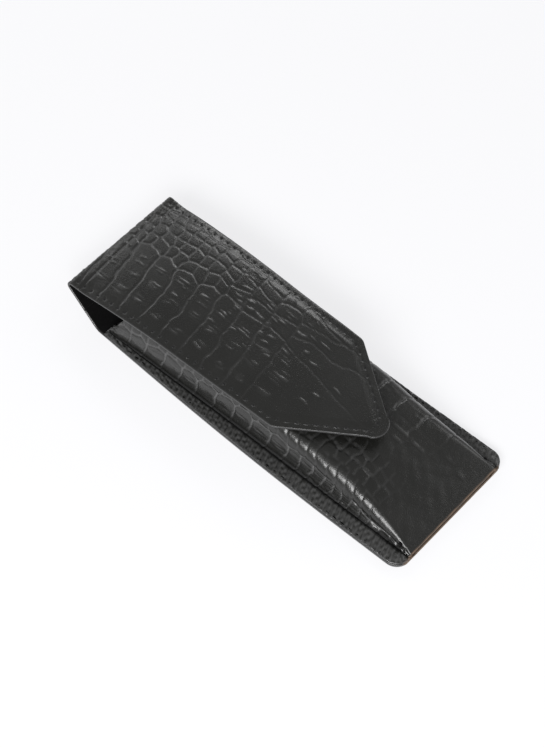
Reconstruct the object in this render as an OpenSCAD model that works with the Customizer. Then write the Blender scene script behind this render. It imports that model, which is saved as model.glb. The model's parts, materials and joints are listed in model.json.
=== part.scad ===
// Flap case for two fountain pens, lying on its back with the flap closed.
// X runs across the case, +Y runs from the foot seam to the fold, +Z is up.
// The origin is on the table, under the middle of the closed case.

/* [Case] */
// Overall length when closed, from the foot edge to the outside of the fold
case_len = 166; // [136:1:200]
// Width of the back at its widest
case_w = 60.4; // [50:0.2:76]
// How far the long edges of the back bow out at mid-length
side_bow = 0.4; // [0:0.1:2]
// Radius of the two foot corners
corner_r = 5.5; // [2:0.5:9]

/* [Layers] */
// Thickness of the embossed leather
leather_t = 0.9; // [0.7:0.1:1.4]
// Thickness of the stiffening board
board_t = 0.7; // [0.5:0.1:1.2]
// Thickness of the lining
lining_t = 0.4; // [0.3:0.1:0.8]
// How far the boards stop short of the stitched edges
board_margin = 5; // [4:0.5:8]

/* [Pocket] */
// Height of the front panel at its crest
crest_h = 18; // [14:0.5:22]
// Distance from the foot edge to the crest
crest_run = 85; // [70:1:100]
// Height of the front panel at the foot seam
foot_h = 3.5; // [3.2:0.1:5]
// How full the front panel swells above the foot
rise_power = 2.7; // [1.5:0.1:3.5]
// Width of the sewn foot hem
hem_w = 4; // [3:0.5:6]
// Width of the sewn flange beside the gusset at the mouth
flange_mouth = 2; // [1.8:0.1:4]
// Width of the sewn flange beside the gusset at the foot
flange_foot = 6.5; // [4:0.5:8]
// Lean of the gusset walls from upright, in degrees
gusset_lean = 13; // [5:1:18]
// How far the front's stiffener stops short of the gussets
front_board_margin = 3; // [2:0.5:8]

/* [Fold] */
// Distance from the top of the pocket's mouth to the bend at the end of the flat back
neck_run = 9; // [7:0.5:14]
// How much further the foot of the mouth reaches towards the fold than its top
mouth_slant = 6; // [0:0.5:6.5]
// Length along the case of the rising spine between the bend and the fold
spine_run = 16; // [12:0.5:20]
// Height of the fold's axis
fold_h = 12; // [8:0.5:14]
// Outside radius of the fold
fold_r = 2; // [1.8:0.1:2.6]
// How much narrower each edge is at the fold than the back at its widest
fold_inset = 2.9; // [1:0.1:5]

/* [Flap] */
// Distance from the foot edge to the tip of the flap
tip_run = 32; // [24:1:40]
// Length of the pointed end, from the tip to the shoulders
point_len = 32; // [24:1:40]
// How much narrower each shoulder is than the back at its widest
shoulder_inset = 5.5; // [4:0.1:9]
// Radius of the tip and the shoulders
point_r = 6; // [3:0.5:9]
// How far the tip stands above the flap's flat stretch
tip_lift = 1.2; // [0:0.1:3]
// How sharply the flap drops towards the fold
drop_power = 3; // [2:0.1:4]

/* [Divider] */
// Thickness of the tongue between the two pens
divider_t = 1; // [0.8:0.1:1.4]
// Width of the tongue's sewn foot
divider_foot_w = 8; // [6:0.5:10]
// Distance from the foot edge to the start of the tongue
divider_run = 14; // [10:1:30]

/* [Closure] */
// Diameter of the two closure magnets
magnet_d = 12; // [8:0.5:15]
// Distance from the foot edge to the magnets
magnet_run = 68; // [64:1:84]

/* [Stitching] */
// Distance from one stitch to the next
stitch_pitch = 3.5; // [2.5:0.1:5]
// Length of a stitch
stitch_len = 2.4; // [1.6:0.1:2.4]
// Thickness of the thread
thread_d = 0.5; // [0.3:0.05:0.7]
// Distance from the flap's edge to its stitching
stitch_inset = 2.5; // [1.5:0.1:4]
// Distance from the back's edge to the side seams
seam_inset = 1; // [0.8:0.1:1.4]

/* [Fits] */
// Gap between the closed flap and the stitches on the front panel
lid_gap = 0.3; // [0.3:0.1:1]
// Gap round each folding line
hinge_gap = 0.3; // [0.3:0.1:0.6]
// Gap between the tongue and the front lining
divider_gap = 0.5; // [0.3:0.1:1]
// Gap between a magnet and the faces and rim of its pocket
magnet_gap = 0.1; // [0.05:0.05:0.2]

/* [Hidden] */

leather_colour = [0.13, 0.13, 0.125];
board_colour = [0.62, 0.56, 0.46];
lining_colour = [0.2, 0.2, 0.21];
thread_colour = [0.05, 0.05, 0.05];
magnet_colour = [0.72, 0.73, 0.75];

// Places along the case
foot_y = -case_len / 2;
fold_y = case_len / 2 - fold_r;
bend_y = fold_y - spine_run;
mouth_y = bend_y - neck_run;
mouth_foot_y = mouth_y + mouth_slant;
crest_y = foot_y + crest_run;
tip_y = foot_y + tip_run;
shoulder_y = tip_y + point_len;
magnet_y = foot_y + magnet_run;

// Stacked thicknesses
stack_t = leather_t + board_t + lining_t;
spine_t = leather_t + lining_t;

// Height of the closed flap's underside at the crest, clear of the stitches on the front
flap_h = crest_h + thread_d + lid_gap;

// Half widths
fold_x = case_w / 2 - fold_inset;
shoulder_x = case_w / 2 - shoulder_inset;

// The flap's edges would meet here if the tip weren't rounded
sharp_tip_y = tip_y - point_r * (norm([shoulder_x, point_len]) / shoulder_x - 1);

// The spine is a straight plate from the bend's axis to the fold's axis
spine_rise = fold_h - spine_t;
spine_len = norm([spine_run, spine_rise]);
spine_tilt = atan2(spine_rise, spine_run);

steps = 24;
side_steps = 12;
far = 200;
eps = 0.01;

function lerp(a, b, t) = a + (b - a) * t;
function unit(v) = v / norm(v);

// The point at distance d inside both edges that meet at p1
function mitre(p0, p1, p2, d) =
    let(u = unit(p0 - p1), v = unit(p2 - p1), half_sine = sqrt((1 - u * v) / 2))
    p1 + unit(u + v) * d / half_sine;

// Half width of the back at a place along it
function edge_x(y) =
    let(middle = (foot_y + bend_y) / 2, reach = (bend_y - foot_y) / 2)
    case_w / 2 - side_bow * pow((y - middle) / reach, 2);

// Half width of the pocket between the feet of its gusset walls, which run straight
function wall_x(y) =
    lerp(edge_x(foot_y) - flange_foot, edge_x(mouth_foot_y) - flange_mouth,
        (y - foot_y) / (mouth_foot_y - foot_y));

// Half width between the gusset walls, just under the front leather
function inner_x(y) =
    wall_x(y) - leather_t / cos(gusset_lean) - (front_top(y) - leather_t - stack_t) * tan(gusset_lean);

// Half width of the spine at a distance up it from the bend's axis
function spine_x(u) = lerp(edge_x(bend_y), fold_x, u / spine_len);

// Underside of the closed flap
function flap_under(y) =
    y > crest_y
    ? flap_h - (flap_h - fold_h) * pow((y - crest_y) / (fold_y - crest_y), drop_power)
    : flap_h + tip_lift * pow((crest_y - y) / (crest_y - tip_y), 2);

// Upper face of the closed flap
function flap_top(y) = flap_under(y) + stack_t;

// Upper face of the front panel
function front_top(y) =
    y > crest_y
    ? flap_under(y) - (flap_h - crest_h)
    : lerp(foot_h, crest_h, 1 - pow((crest_y - y) / (crest_y - foot_y), rise_power));

// The plan of the back from the foot edge to a place along it, pulled in by an inset
module back_plan(end_y, inset) {
    arc_y = foot_y + corner_r;
    right = concat(
        [for (a = [-90 : 15 : -15])
            [edge_x(arc_y) - corner_r + (corner_r - inset) * cos(a),
             arc_y + (corner_r - inset) * sin(a)]],
        [for (i = [0 : side_steps]) let(y = lerp(arc_y, end_y, i / side_steps)) [edge_x(y) - inset, y]]);
    left = [for (i = [len(right) - 1 : -1 : 0]) [-right[i].x, right[i].y]];
    polygon(concat(right, left));
}

// The plan of the flap, which runs on past the fold
module flap_plan() {
    past_y = fold_y + 3 * point_r;
    past_x = lerp(shoulder_x, fold_x, (past_y - shoulder_y) / (fold_y - shoulder_y));
    offset(r = point_r, $fn = 48)
    offset(delta = -point_r)
    polygon([
        [past_x, past_y], [shoulder_x, shoulder_y], [0, sharp_tip_y],
        [-shoulder_x, shoulder_y], [-past_x, past_y]
    ]);
}

// A band between two heights above a face, drawn across the case
module band(height, start_y, end_y, low, high, width) {
    rows = [for (i = [0 : steps]) lerp(start_y, end_y, i / steps)];
    back_rows = [for (i = [steps : -1 : 0]) rows[i]];
    rotate([90, 0, 90])
    linear_extrude(width, center = true)
    polygon(concat(
        [for (y = rows) [y, height(y) + low]],
        [for (y = back_rows) [y, height(y) + high]]));
}

// The space under the front panel and between its gussets, pulled in by layers.
// It is open past the mouth, where before_mouth() cuts the layers off.
module pocket_space(top_inset, side_inset, start_y) {
    end_y = mouth_foot_y + 1;
    rows = [for (i = [0 : steps]) lerp(foot_y, end_y, i / steps)];
    reach = crest_h + 1;
    drop = tan(gusset_lean) * reach;
    side = side_inset / cos(gusset_lean);
    foot_x = wall_x(foot_y) - side;
    end_x = wall_x(end_y) - side;
    intersection() {
        rotate([90, 0, 90])
        linear_extrude(case_w, center = true)
        polygon(concat([for (y = rows) [y, front_top(y) - top_inset]], [[end_y, 0], [foot_y, 0]]));
        translate([0, 0, stack_t])
        polyhedron(
            points = [
                [-foot_x, foot_y, 0], [foot_x, foot_y, 0], [end_x, end_y, 0], [-end_x, end_y, 0],
                [-foot_x + drop, foot_y, reach], [foot_x - drop, foot_y, reach],
                [end_x - drop, end_y, reach], [-end_x + drop, end_y, reach]],
            faces = [
                [0, 1, 2, 3], [7, 6, 5, 4],
                [4, 5, 1, 0], [5, 6, 2, 1], [6, 7, 3, 2], [7, 4, 0, 3]]);
        translate([-far / 2, start_y, 0])
        cube([far, far, far]);
    }
}

// Everything on the foot's side of the slanted mouth
module before_mouth() {
    rise = front_top(mouth_y) - stack_t;
    translate([0, mouth_foot_y, stack_t])
    rotate([atan2(mouth_slant, rise), 0, 0])
    translate([-far / 2, -far, -far / 2])
    cube([far, far, far]);
}

// A cylinder across the case on a folding line
module roll(y, z, r, width) {
    translate([0, y, z])
    rotate([0, 90, 0])
    cylinder(h = width, r = r, center = true, $fn = 48);
}

// A thread bar from one point to another
module bar(a, b) {
    d = b - a;
    translate(a)
    rotate([0, acos(d.z / norm(d)), atan2(d.y, d.x)])
    cylinder(h = norm(d), d = thread_d, $fn = 8);
}

// A row of stitches from p to q in plan, lying on a face
module stitch_row(p, q, height) {
    count = floor(norm(q - p) / stitch_pitch);
    along = unit(q - p);
    first = (norm(q - p) - (count - 1) * stitch_pitch - stitch_len) / 2;
    lift = thread_d / 2 + eps;
    for (i = [0 : count - 1]) {
        a = p + along * (first + i * stitch_pitch);
        b = a + along * stitch_len;
        bar([a.x, a.y, height(a.y) + lift], [b.x, b.y, height(b.y) + lift]);
    }
}

// Things drawn in the spine's own plane, with its inner face at height 0
module on_spine() {
    translate([0, bend_y, spine_t])
    rotate([spine_tilt, 0, 0])
    children();
}

module spine_plate(low, high) {
    start_u = spine_t + hinge_gap;
    start_x = spine_x(start_u);
    on_spine()
    translate([0, 0, low])
    linear_extrude(high - low)
    polygon([[-start_x, start_u], [start_x, start_u], [fold_x, spine_len], [-fold_x, spine_len]]);
}

module flap_layer(low, high) {
    difference() {
        intersection() {
            band(function(y) flap_under(y), tip_y - 1, fold_y, low, high, case_w);
            linear_extrude(far) flap_plan();
        }
        roll(fold_y, fold_h, fold_r + hinge_gap, case_w + 2);
    }
}

module magnet(height, low) {
    slope = height(magnet_y + 1) - height(magnet_y - 1);
    translate([0, magnet_y, height(magnet_y) + low + magnet_gap])
    rotate([atan(slope / 2), 0, 0])
    cylinder(h = board_t - 2 * magnet_gap, d = magnet_d, $fn = 64);
}

module magnet_hole() {
    translate([0, magnet_y, 0])
    cylinder(h = far, d = magnet_d + 2 * magnet_gap + thread_d, $fn = 64);
}

module back_leather() {
    color(leather_colour) {
        linear_extrude(leather_t) back_plan(bend_y, 0);
        difference() {
            roll(bend_y, spine_t, spine_t, 2 * edge_x(bend_y));
            translate([-far / 2, bend_y - far / 2, leather_t]) cube([far, far, far]);
        }
    }
}

module back_board() {
    color(board_colour)
    translate([0, 0, leather_t])
    linear_extrude(board_t)
    back_plan(bend_y - board_margin, board_margin);
}

module back_lining() {
    color(lining_colour)
    translate([0, 0, leather_t + board_t])
    linear_extrude(lining_t)
    back_plan(bend_y - spine_t - hinge_gap, 0);
}

module front_leather() {
    color(leather_colour)
    difference() {
        intersection() {
            union() {
                translate([0, 0, stack_t])
                linear_extrude(leather_t)
                back_plan(mouth_foot_y, 0);
                pocket_space(0, 0, foot_y);
            }
            before_mouth();
        }
        pocket_space(leather_t, leather_t, foot_y + hem_w);
    }
}

module front_board() {
    top = -leather_t;
    start_y = foot_y + hem_w + board_margin;
    end_y = mouth_y - board_margin;
    reach = min([for (i = [0 : steps]) inner_x(lerp(start_y, end_y, i / steps))]) - front_board_margin;
    color(board_colour)
    difference() {
        intersection() {
            band(function(y) front_top(y), foot_y, mouth_foot_y + 1, top - board_t, top, 2 * reach);
            translate([-far / 2, start_y, 0])
            cube([far, end_y - start_y, far]);
        }
        magnet_hole();
    }
}

module front_lining() {
    outer = leather_t + board_t;
    color(lining_colour)
    difference() {
        intersection() {
            pocket_space(outer, leather_t, foot_y + hem_w);
            before_mouth();
        }
        pocket_space(outer + lining_t, leather_t + lining_t, foot_y + hem_w + lining_t);
    }
}

module pen_divider() {
    start_y = foot_y + divider_run;
    end_y = mouth_y - board_margin;
    top = -(leather_t + board_t + lining_t + divider_gap);
    color(leather_colour) {
        intersection() {
            band(function(y) front_top(y), foot_y, mouth_foot_y + 1, top - crest_h, top, divider_t);
            translate([-far / 2, start_y, stack_t]) cube([far, end_y - start_y, far]);
        }
        translate([-divider_t / 2, start_y, stack_t])
        cube([divider_foot_w, end_y - start_y, divider_t]);
    }
}

module front_magnet() {
    color(magnet_colour) magnet(function(y) front_top(y), -leather_t - board_t);
}

module side_seam(side) {
    start_y = foot_y + corner_r;
    top = stack_t + leather_t;
    rows = 4;
    color(thread_colour)
    for (i = [0 : rows - 1]) {
        low_y = lerp(start_y, mouth_foot_y, i / rows);
        high_y = lerp(start_y, mouth_foot_y, (i + 1) / rows);
        stitch_row(
            [side * (edge_x(low_y) - seam_inset), low_y],
            [side * (edge_x(high_y) - seam_inset), high_y],
            function(y) top);
    }
}

module left_seam_thread() {
    side_seam(-1);
}

module right_seam_thread() {
    side_seam(1);
}

module foot_seam_thread() {
    y = foot_y + hem_w / 2;
    reach = wall_x(y) - (crest_h - foot_h) * tan(gusset_lean);
    color(thread_colour)
    stitch_row([-reach, y], [reach, y], function(y) front_top(y));
}

module mouth_thread() {
    y = mouth_y - stitch_inset;
    reach = wall_x(y) - crest_h * tan(gusset_lean);
    color(thread_colour)
    stitch_row([-reach, y], [reach, y], function(y) front_top(y));
}

module divider_thread() {
    x = divider_foot_w * 0.6;
    top = stack_t + divider_t;
    color(thread_colour)
    stitch_row(
        [x, foot_y + divider_run], [x, mouth_y - board_margin], function(y) top);
}

module spine_leather() {
    color(leather_colour) {
        spine_plate(-spine_t, -lining_t);
        roll(fold_y, fold_h, fold_r, 2 * spine_x(spine_len - 1.5 * fold_r));
    }
}

module spine_lining() {
    color(lining_colour)
    difference() {
        spine_plate(-lining_t, 0);
        roll(fold_y, fold_h, fold_r, case_w);
    }
}

module spine_thread() {
    start_u = spine_t + hinge_gap + stitch_len;
    end_u = spine_len - fold_r;
    below = -spine_t - thread_d - 2 * eps;
    color(thread_colour)
    on_spine()
    for (side = [-1, 1])
        stitch_row(
            [side * (spine_x(start_u) - stitch_inset), start_u],
            [side * (spine_x(end_u) - stitch_inset), end_u],
            function(u) below);
}

module flap_leather() {
    color(leather_colour) flap_layer(lining_t + board_t, stack_t);
}

module flap_board() {
    color(board_colour)
    difference() {
        intersection() {
            flap_layer(lining_t, lining_t + board_t);
            linear_extrude(far)
            intersection() {
                offset(delta = -board_margin) flap_plan();
                translate([-far / 2, tip_y]) square([far, mouth_y - tip_y]);
            }
        }
        magnet_hole();
    }
}

module flap_lining() {
    color(lining_colour) flap_layer(0, lining_t);
}

module flap_magnet() {
    color(magnet_colour) magnet(function(y) flap_under(y), lining_t);
}

module flap_thread() {
    fold_corner = [fold_x, fold_y];
    shoulder = [shoulder_x, shoulder_y];
    tip = [0, sharp_tip_y];
    other_shoulder = [-shoulder_x, shoulder_y];
    near_fold = [fold_x - stitch_inset, fold_y - fold_r - hinge_gap];
    sewn_shoulder = mitre(fold_corner, shoulder, tip, stitch_inset);
    sewn_tip = mitre(shoulder, tip, other_shoulder, stitch_inset);
    color(thread_colour)
    for (side = [-1, 1]) {
        stitch_row(
            [side * near_fold.x, near_fold.y], [side * sewn_shoulder.x, sewn_shoulder.y],
            function(y) flap_top(y));
        stitch_row(
            [side * sewn_shoulder.x, sewn_shoulder.y], [side * stitch_len, sewn_tip.y + point_r / 2],
            function(y) flap_top(y));
    }
}

back_leather();
back_board();
back_lining();
front_leather();
front_board();
front_lining();
pen_divider();
front_magnet();
left_seam_thread();
right_seam_thread();
foot_seam_thread();
mouth_thread();
divider_thread();
spine_leather();
spine_lining();
spine_thread();
flap_leather();
flap_board();
flap_lining();
flap_magnet();
flap_thread();
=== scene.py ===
"""Flap case for two fountain pens, in crocodile-embossed leather, lying on its back.

X runs across the case, +Y from the foot seam to the fold, and +Z up. The classes hold their
sizes in millimetres, and a mesh is turned into metres when it is written.
"""

import json
import logging
import math
from dataclasses import dataclass, field
from enum import Enum
from typing import Sequence

import bmesh
import bpy
import numpy as np
from mathutils import Matrix, Vector


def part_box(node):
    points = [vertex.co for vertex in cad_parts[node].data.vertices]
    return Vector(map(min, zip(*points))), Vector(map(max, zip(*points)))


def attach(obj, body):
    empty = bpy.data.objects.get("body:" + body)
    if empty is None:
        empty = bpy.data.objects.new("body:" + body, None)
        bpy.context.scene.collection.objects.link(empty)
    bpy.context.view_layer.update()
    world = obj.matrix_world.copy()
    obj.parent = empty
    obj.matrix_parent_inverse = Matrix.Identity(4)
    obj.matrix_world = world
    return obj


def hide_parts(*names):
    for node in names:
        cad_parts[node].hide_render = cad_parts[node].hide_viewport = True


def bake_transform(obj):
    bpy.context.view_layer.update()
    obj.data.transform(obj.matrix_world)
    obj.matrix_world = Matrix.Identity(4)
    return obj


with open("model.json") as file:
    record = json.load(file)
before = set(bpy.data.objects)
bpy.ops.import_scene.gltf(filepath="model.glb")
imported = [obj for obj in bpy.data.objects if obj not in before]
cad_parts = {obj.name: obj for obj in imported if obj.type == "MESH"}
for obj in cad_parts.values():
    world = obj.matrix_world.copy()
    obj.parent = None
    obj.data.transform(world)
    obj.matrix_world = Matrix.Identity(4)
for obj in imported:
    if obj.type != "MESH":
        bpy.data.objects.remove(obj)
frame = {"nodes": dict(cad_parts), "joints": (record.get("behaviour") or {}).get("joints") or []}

Array = np.ndarray
LOG = logging.getLogger("pen_case")
MM = 0.001
UV_SPAN = 100.0
UV_INNER_SHIFT = 0.37
UP = np.array([0.0, 0.0, 1.0])
RIM_GAPS = np.array([0.0, 0.12, 0.35, 0.75])


class Body(Enum):
    """The case's three rigid bodies."""

    CASE = "case"
    SPINE = "spine"
    FLAP = "flap"


class Side(Enum):
    """The two long sides, as the sign of X."""

    LEFT = -1
    RIGHT = 1


def smooth(low: float, high: float, value: Array) -> Array:
    """A soft step from 0 at low to 1 at high."""
    share = np.clip((value - low) / (high - low), 0.0, 1.0)
    return share * share * (3.0 - 2.0 * share)


def bump(value: Array, middle: float, width: float) -> Array:
    """A bell of height 1 round middle."""
    return np.exp(-(((value - middle) / width) ** 2))


def unit(vector: Array) -> Array:
    """The vectors at length 1."""
    return vector / np.maximum(np.linalg.norm(vector, axis=-1, keepdims=True), 1e-12)


def outward(face: Array) -> Array:
    """The outward direction at each point of a grid of places."""
    return unit(np.cross(np.gradient(face, axis=0), np.gradient(face, axis=1)))


def sunk(face: Array, depth: Array | float) -> Array:
    """A grid of places moved inwards by a depth."""
    return face - outward(face) * np.asarray(depth)[..., None]


def run_along(points: Array) -> Array:
    """Distance of each point from the first, along the line through them."""
    return np.concatenate([[0.0], np.cumsum(np.linalg.norm(np.diff(points, axis=0), axis=1))])


def arc(middle: Array, radius: float, start: float, end: float, count: int) -> Array:
    """Points on a circle, from one angle to another."""
    turns = np.linspace(start, end, count)
    return middle + radius * np.stack([np.cos(turns), np.sin(turns)], 1)


def spread(index: Array, count: int, low: Array, high: Array) -> Array:
    """Places a plate's grid lines between two edges, close together at both.

    Args:
        index: Number of each line.
        count: Number of the last line.
        low: Where the first line stands.
        high: Where the last line stands.

    Returns:
        The place of each line.
    """
    last = len(RIM_GAPS) - 1
    way = np.sign(high - low)
    rim = RIM_GAPS[last] * way
    inner = low + rim + (high - low - 2 * rim) * (index - last) / (count - 2 * last)
    near_low = low + RIM_GAPS[np.minimum(index, last)] * way
    near_high = high - RIM_GAPS[np.minimum(count - index, last)] * way
    return np.where(index < last, near_low, np.where(index > count - last, near_high, inner))


def rim_gap(index: Array, count: int) -> Array:
    """How far each of a plate's grid lines stands from the nearer edge."""
    return RIM_GAPS[np.minimum(np.minimum(index, count - index), len(RIM_GAPS) - 1)]


@dataclass(frozen=True)
class Ripple:
    """Smooth unevenness, a seeded sum of waves."""

    wave: float
    height: float
    seed: int
    waves: int = 7

    def at(self, a: Array, b: Array) -> Array:
        """Height at each place (a, b)."""
        random = np.random.default_rng(self.seed)
        total = np.zeros(np.broadcast(a, b).shape)
        for _ in range(self.waves):
            heading = random.uniform(0, 2 * math.pi)
            turn = 2 * math.pi / (self.wave * random.uniform(0.6, 1.5))
            phase = random.uniform(0, 2 * math.pi)
            total += np.sin((a * math.cos(heading) + b * math.sin(heading)) * turn + phase)
        return total * self.height / math.sqrt(self.waves)


def ripples(a: Array, b: Array, *waves: tuple[float, float, int]) -> Array:
    """The sum of several ripples, each given as its wave, height and seed."""
    return sum(Ripple(*wave).at(a, b) for wave in waves)


# ---------------------------------------------------------------- the case's form


@dataclass(frozen=True)
class CaseForm:
    """Where the case's faces are. The places along it come from the frame."""

    foot_y: float
    mouth_foot_y: float
    bend_y: float
    fold_y: float
    fold_z: float
    tip_y: float
    back_x: float
    fold_x: float
    crest_h: float
    fold_r: float = 2.0
    leather_t: float = 0.9
    board_t: float = 0.7
    lining_t: float = 0.4
    board_margin: float = 5.0
    corner_r: float = 5.5
    side_bow: float = 0.4
    crest_run: float = 85.0
    foot_h: float = 3.5
    rise_power: float = 2.7
    flange_mouth: float = 2.0
    flange_foot: float = 6.5
    gusset_lean: float = 13.0
    mouth_slant: float = 6.0
    shoulder_inset: float = 2.6
    point_len: float = 32.0
    point_r: float = 6.0
    tip_lift: float = 1.2
    drop_power: float = 3.0
    lid_gap: float = 0.8
    stitch_inset: float = 2.5
    stitch_pitch: float = 3.5
    glue_t: float = 0.02
    creep: float = 1.5
    creep_more: float = 0.45
    creep_power: float = 1.1

    @classmethod
    def from_frame(cls) -> "CaseForm":
        """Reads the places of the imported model's nodes and joints."""
        low = {name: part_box(name)[0] / MM for name in frame["nodes"]}
        high = {name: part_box(name)[1] / MM for name in frame["nodes"]}
        axes = {joint["name"]: Vector(joint["pos_m"]) / MM for joint in frame["joints"]}
        return cls(
            foot_y=low["back_leather"].y,
            mouth_foot_y=high["front_leather"].y,
            bend_y=axes["spine_bend"].y,
            fold_y=axes["flap_fold"].y,
            fold_z=axes["flap_fold"].z,
            tip_y=low["flap_leather"].y,
            back_x=high["back_leather"].x,
            fold_x=high["flap_leather"].x,
            crest_h=high["front_leather"].z,
        )

    @property
    def stack_t(self) -> float:
        """Thickness of leather, board and lining together."""
        return self.leather_t + self.board_t + self.lining_t

    @property
    def shoulder_x(self) -> float:
        """Half width of the flap at its shoulders."""
        return self.fold_x - self.shoulder_inset

    @property
    def mouth_y(self) -> float:
        """Place of the mouth's top edge."""
        return self.mouth_foot_y - self.mouth_slant

    @property
    def crest_y(self) -> float:
        """Place of the front's highest line."""
        return self.foot_y + self.crest_run

    @property
    def shoulder_y(self) -> float:
        """Place of the flap's shoulders."""
        return self.tip_y + self.point_len

    def edge_x(self, y: Array) -> Array:
        """Half width of the back."""
        middle = (self.foot_y + self.bend_y) / 2
        reach = (self.bend_y - self.foot_y) / 2
        corner = np.clip(self.corner_r - (y - self.foot_y), 0.0, self.corner_r)
        cut = self.corner_r - np.sqrt(np.maximum(self.corner_r**2 - corner**2, 0.0))
        return self.back_x - self.side_bow * ((y - middle) / reach) ** 2 - cut

    def sway(self, x: Array, y: Array) -> Array:
        """How far the back's edges have crept towards the left with use, the right edge the most."""
        share = np.clip((y - self.foot_y) / (self.bend_y - self.foot_y), 0.0, 1.0)
        amount = self.creep + self.creep_more * x / self.back_x
        return -amount * np.sin(math.pi * share) ** self.creep_power

    def wall_x(self, y: Array) -> Array:
        """Half width of the pocket between the feet of its gussets."""
        share = (y - self.foot_y) / (self.mouth_foot_y - self.foot_y)
        foot = self.back_x - self.side_bow - self.flange_foot
        mouth = self.back_x - self.side_bow - self.flange_mouth
        return foot + (mouth - foot) * share

    def flap_top(self, y: Array) -> Array:
        """Height of the closed flap's upper face."""
        rest = self.crest_h + self.lid_gap
        fall = np.clip((y - self.crest_y) / (self.fold_y - self.crest_y), 0.0, 1.2) ** self.drop_power
        rise = (np.clip(self.crest_y - y, 0.0, None) / (self.crest_y - self.tip_y)) ** 2
        return rest - (rest - self.fold_z) * fall + self.tip_lift * rise + self.stack_t

    def front_top(self, y: Array) -> Array:
        """Height of the front panel's middle line."""
        run = np.clip((self.crest_y - y) / self.crest_run, 0.0, 1.0)
        rise = self.foot_h + (self.crest_h - self.foot_h) * (1 - run**self.rise_power)
        return np.where(y > self.crest_y, self.flap_top(y) - self.stack_t - self.lid_gap, rise)


@dataclass
class CoverPath:
    """The outer face of the long blank seen from the side: the back, the spine, the fold and the flap."""

    form: CaseForm
    step: float = 0.05
    bend_r: float = 6.0
    spine_tilt: float = math.radians(33.5)
    fold_end: float = math.radians(75.5)
    flap_step: float = 0.2
    join_gap: float = 0.4
    overrun: float = 4.0
    mouth_lift: float = 0.06
    ease: float = 0.7

    def __post_init__(self) -> None:
        """Traces the face from the foot edge to past the tip."""
        form = self.form
        fold = np.array([form.fold_y, form.fold_z])
        tilt = self.spine_tilt
        meet_y = form.fold_y + (form.fold_r - form.fold_z * math.cos(tilt)) / math.sin(tilt)
        tangent = self.bend_r * math.tan(tilt / 2)
        bend = np.array([meet_y - tangent, self.bend_r])
        down = -math.pi / 2
        bend_arc = arc(bend, self.bend_r, down, down + tilt, 60)
        fold_arc = arc(fold, form.fold_r, down + tilt, self.fold_end, 120)
        flap_y = np.arange(fold_arc[-1, 0] - self.join_gap, form.tip_y - self.overrun, -self.flap_step)
        lift = self.mouth_lift * smooth(60.0, 80.0, flap_y)
        flap = np.stack([flap_y, form.flap_top(flap_y) + lift], 1)
        line = np.concatenate([[[form.foot_y, 0.0]], bend_arc, fold_arc, flap])
        length = run_along(line)
        self.run = np.arange(0.0, length[-1], self.step)
        self.y = self._eased(np.interp(self.run, length, line[:, 0]))
        self.z = self._eased(np.interp(self.run, length, line[:, 1]))
        apex = int(np.argmax(self.y))
        self.flap_run = self.run[apex:]
        self.flap_y = self.y[apex:]
        self.fold_run = float(self.run_of_flap(np.array(form.fold_y + 1.0)))
        self.seam_run = float(np.interp(0.5 * (meet_y + form.fold_y), self.y[:apex], self.run[:apex]))

    def _eased(self, values: Array) -> Array:
        """Takes the kinks out of a traced line without moving its ends."""
        reach = int(self.ease / self.step)
        padded = np.concatenate([
            2 * values[0] - values[reach:0:-1], values, 2 * values[-1] - values[-2:-reach - 2:-1]])
        return np.convolve(padded, np.ones(2 * reach + 1) / (2 * reach + 1), mode="valid")

    def run_of_flap(self, y: Array) -> Array:
        """Distance along the blank of a place on the flap."""
        return np.interp(-y, -self.flap_y, self.flap_run)

    def at(self, run: Array) -> tuple[Array, Array]:
        """The place (y, z) at each distance along the blank."""
        return np.interp(run, self.run, self.y), np.interp(run, self.run, self.z)


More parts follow.
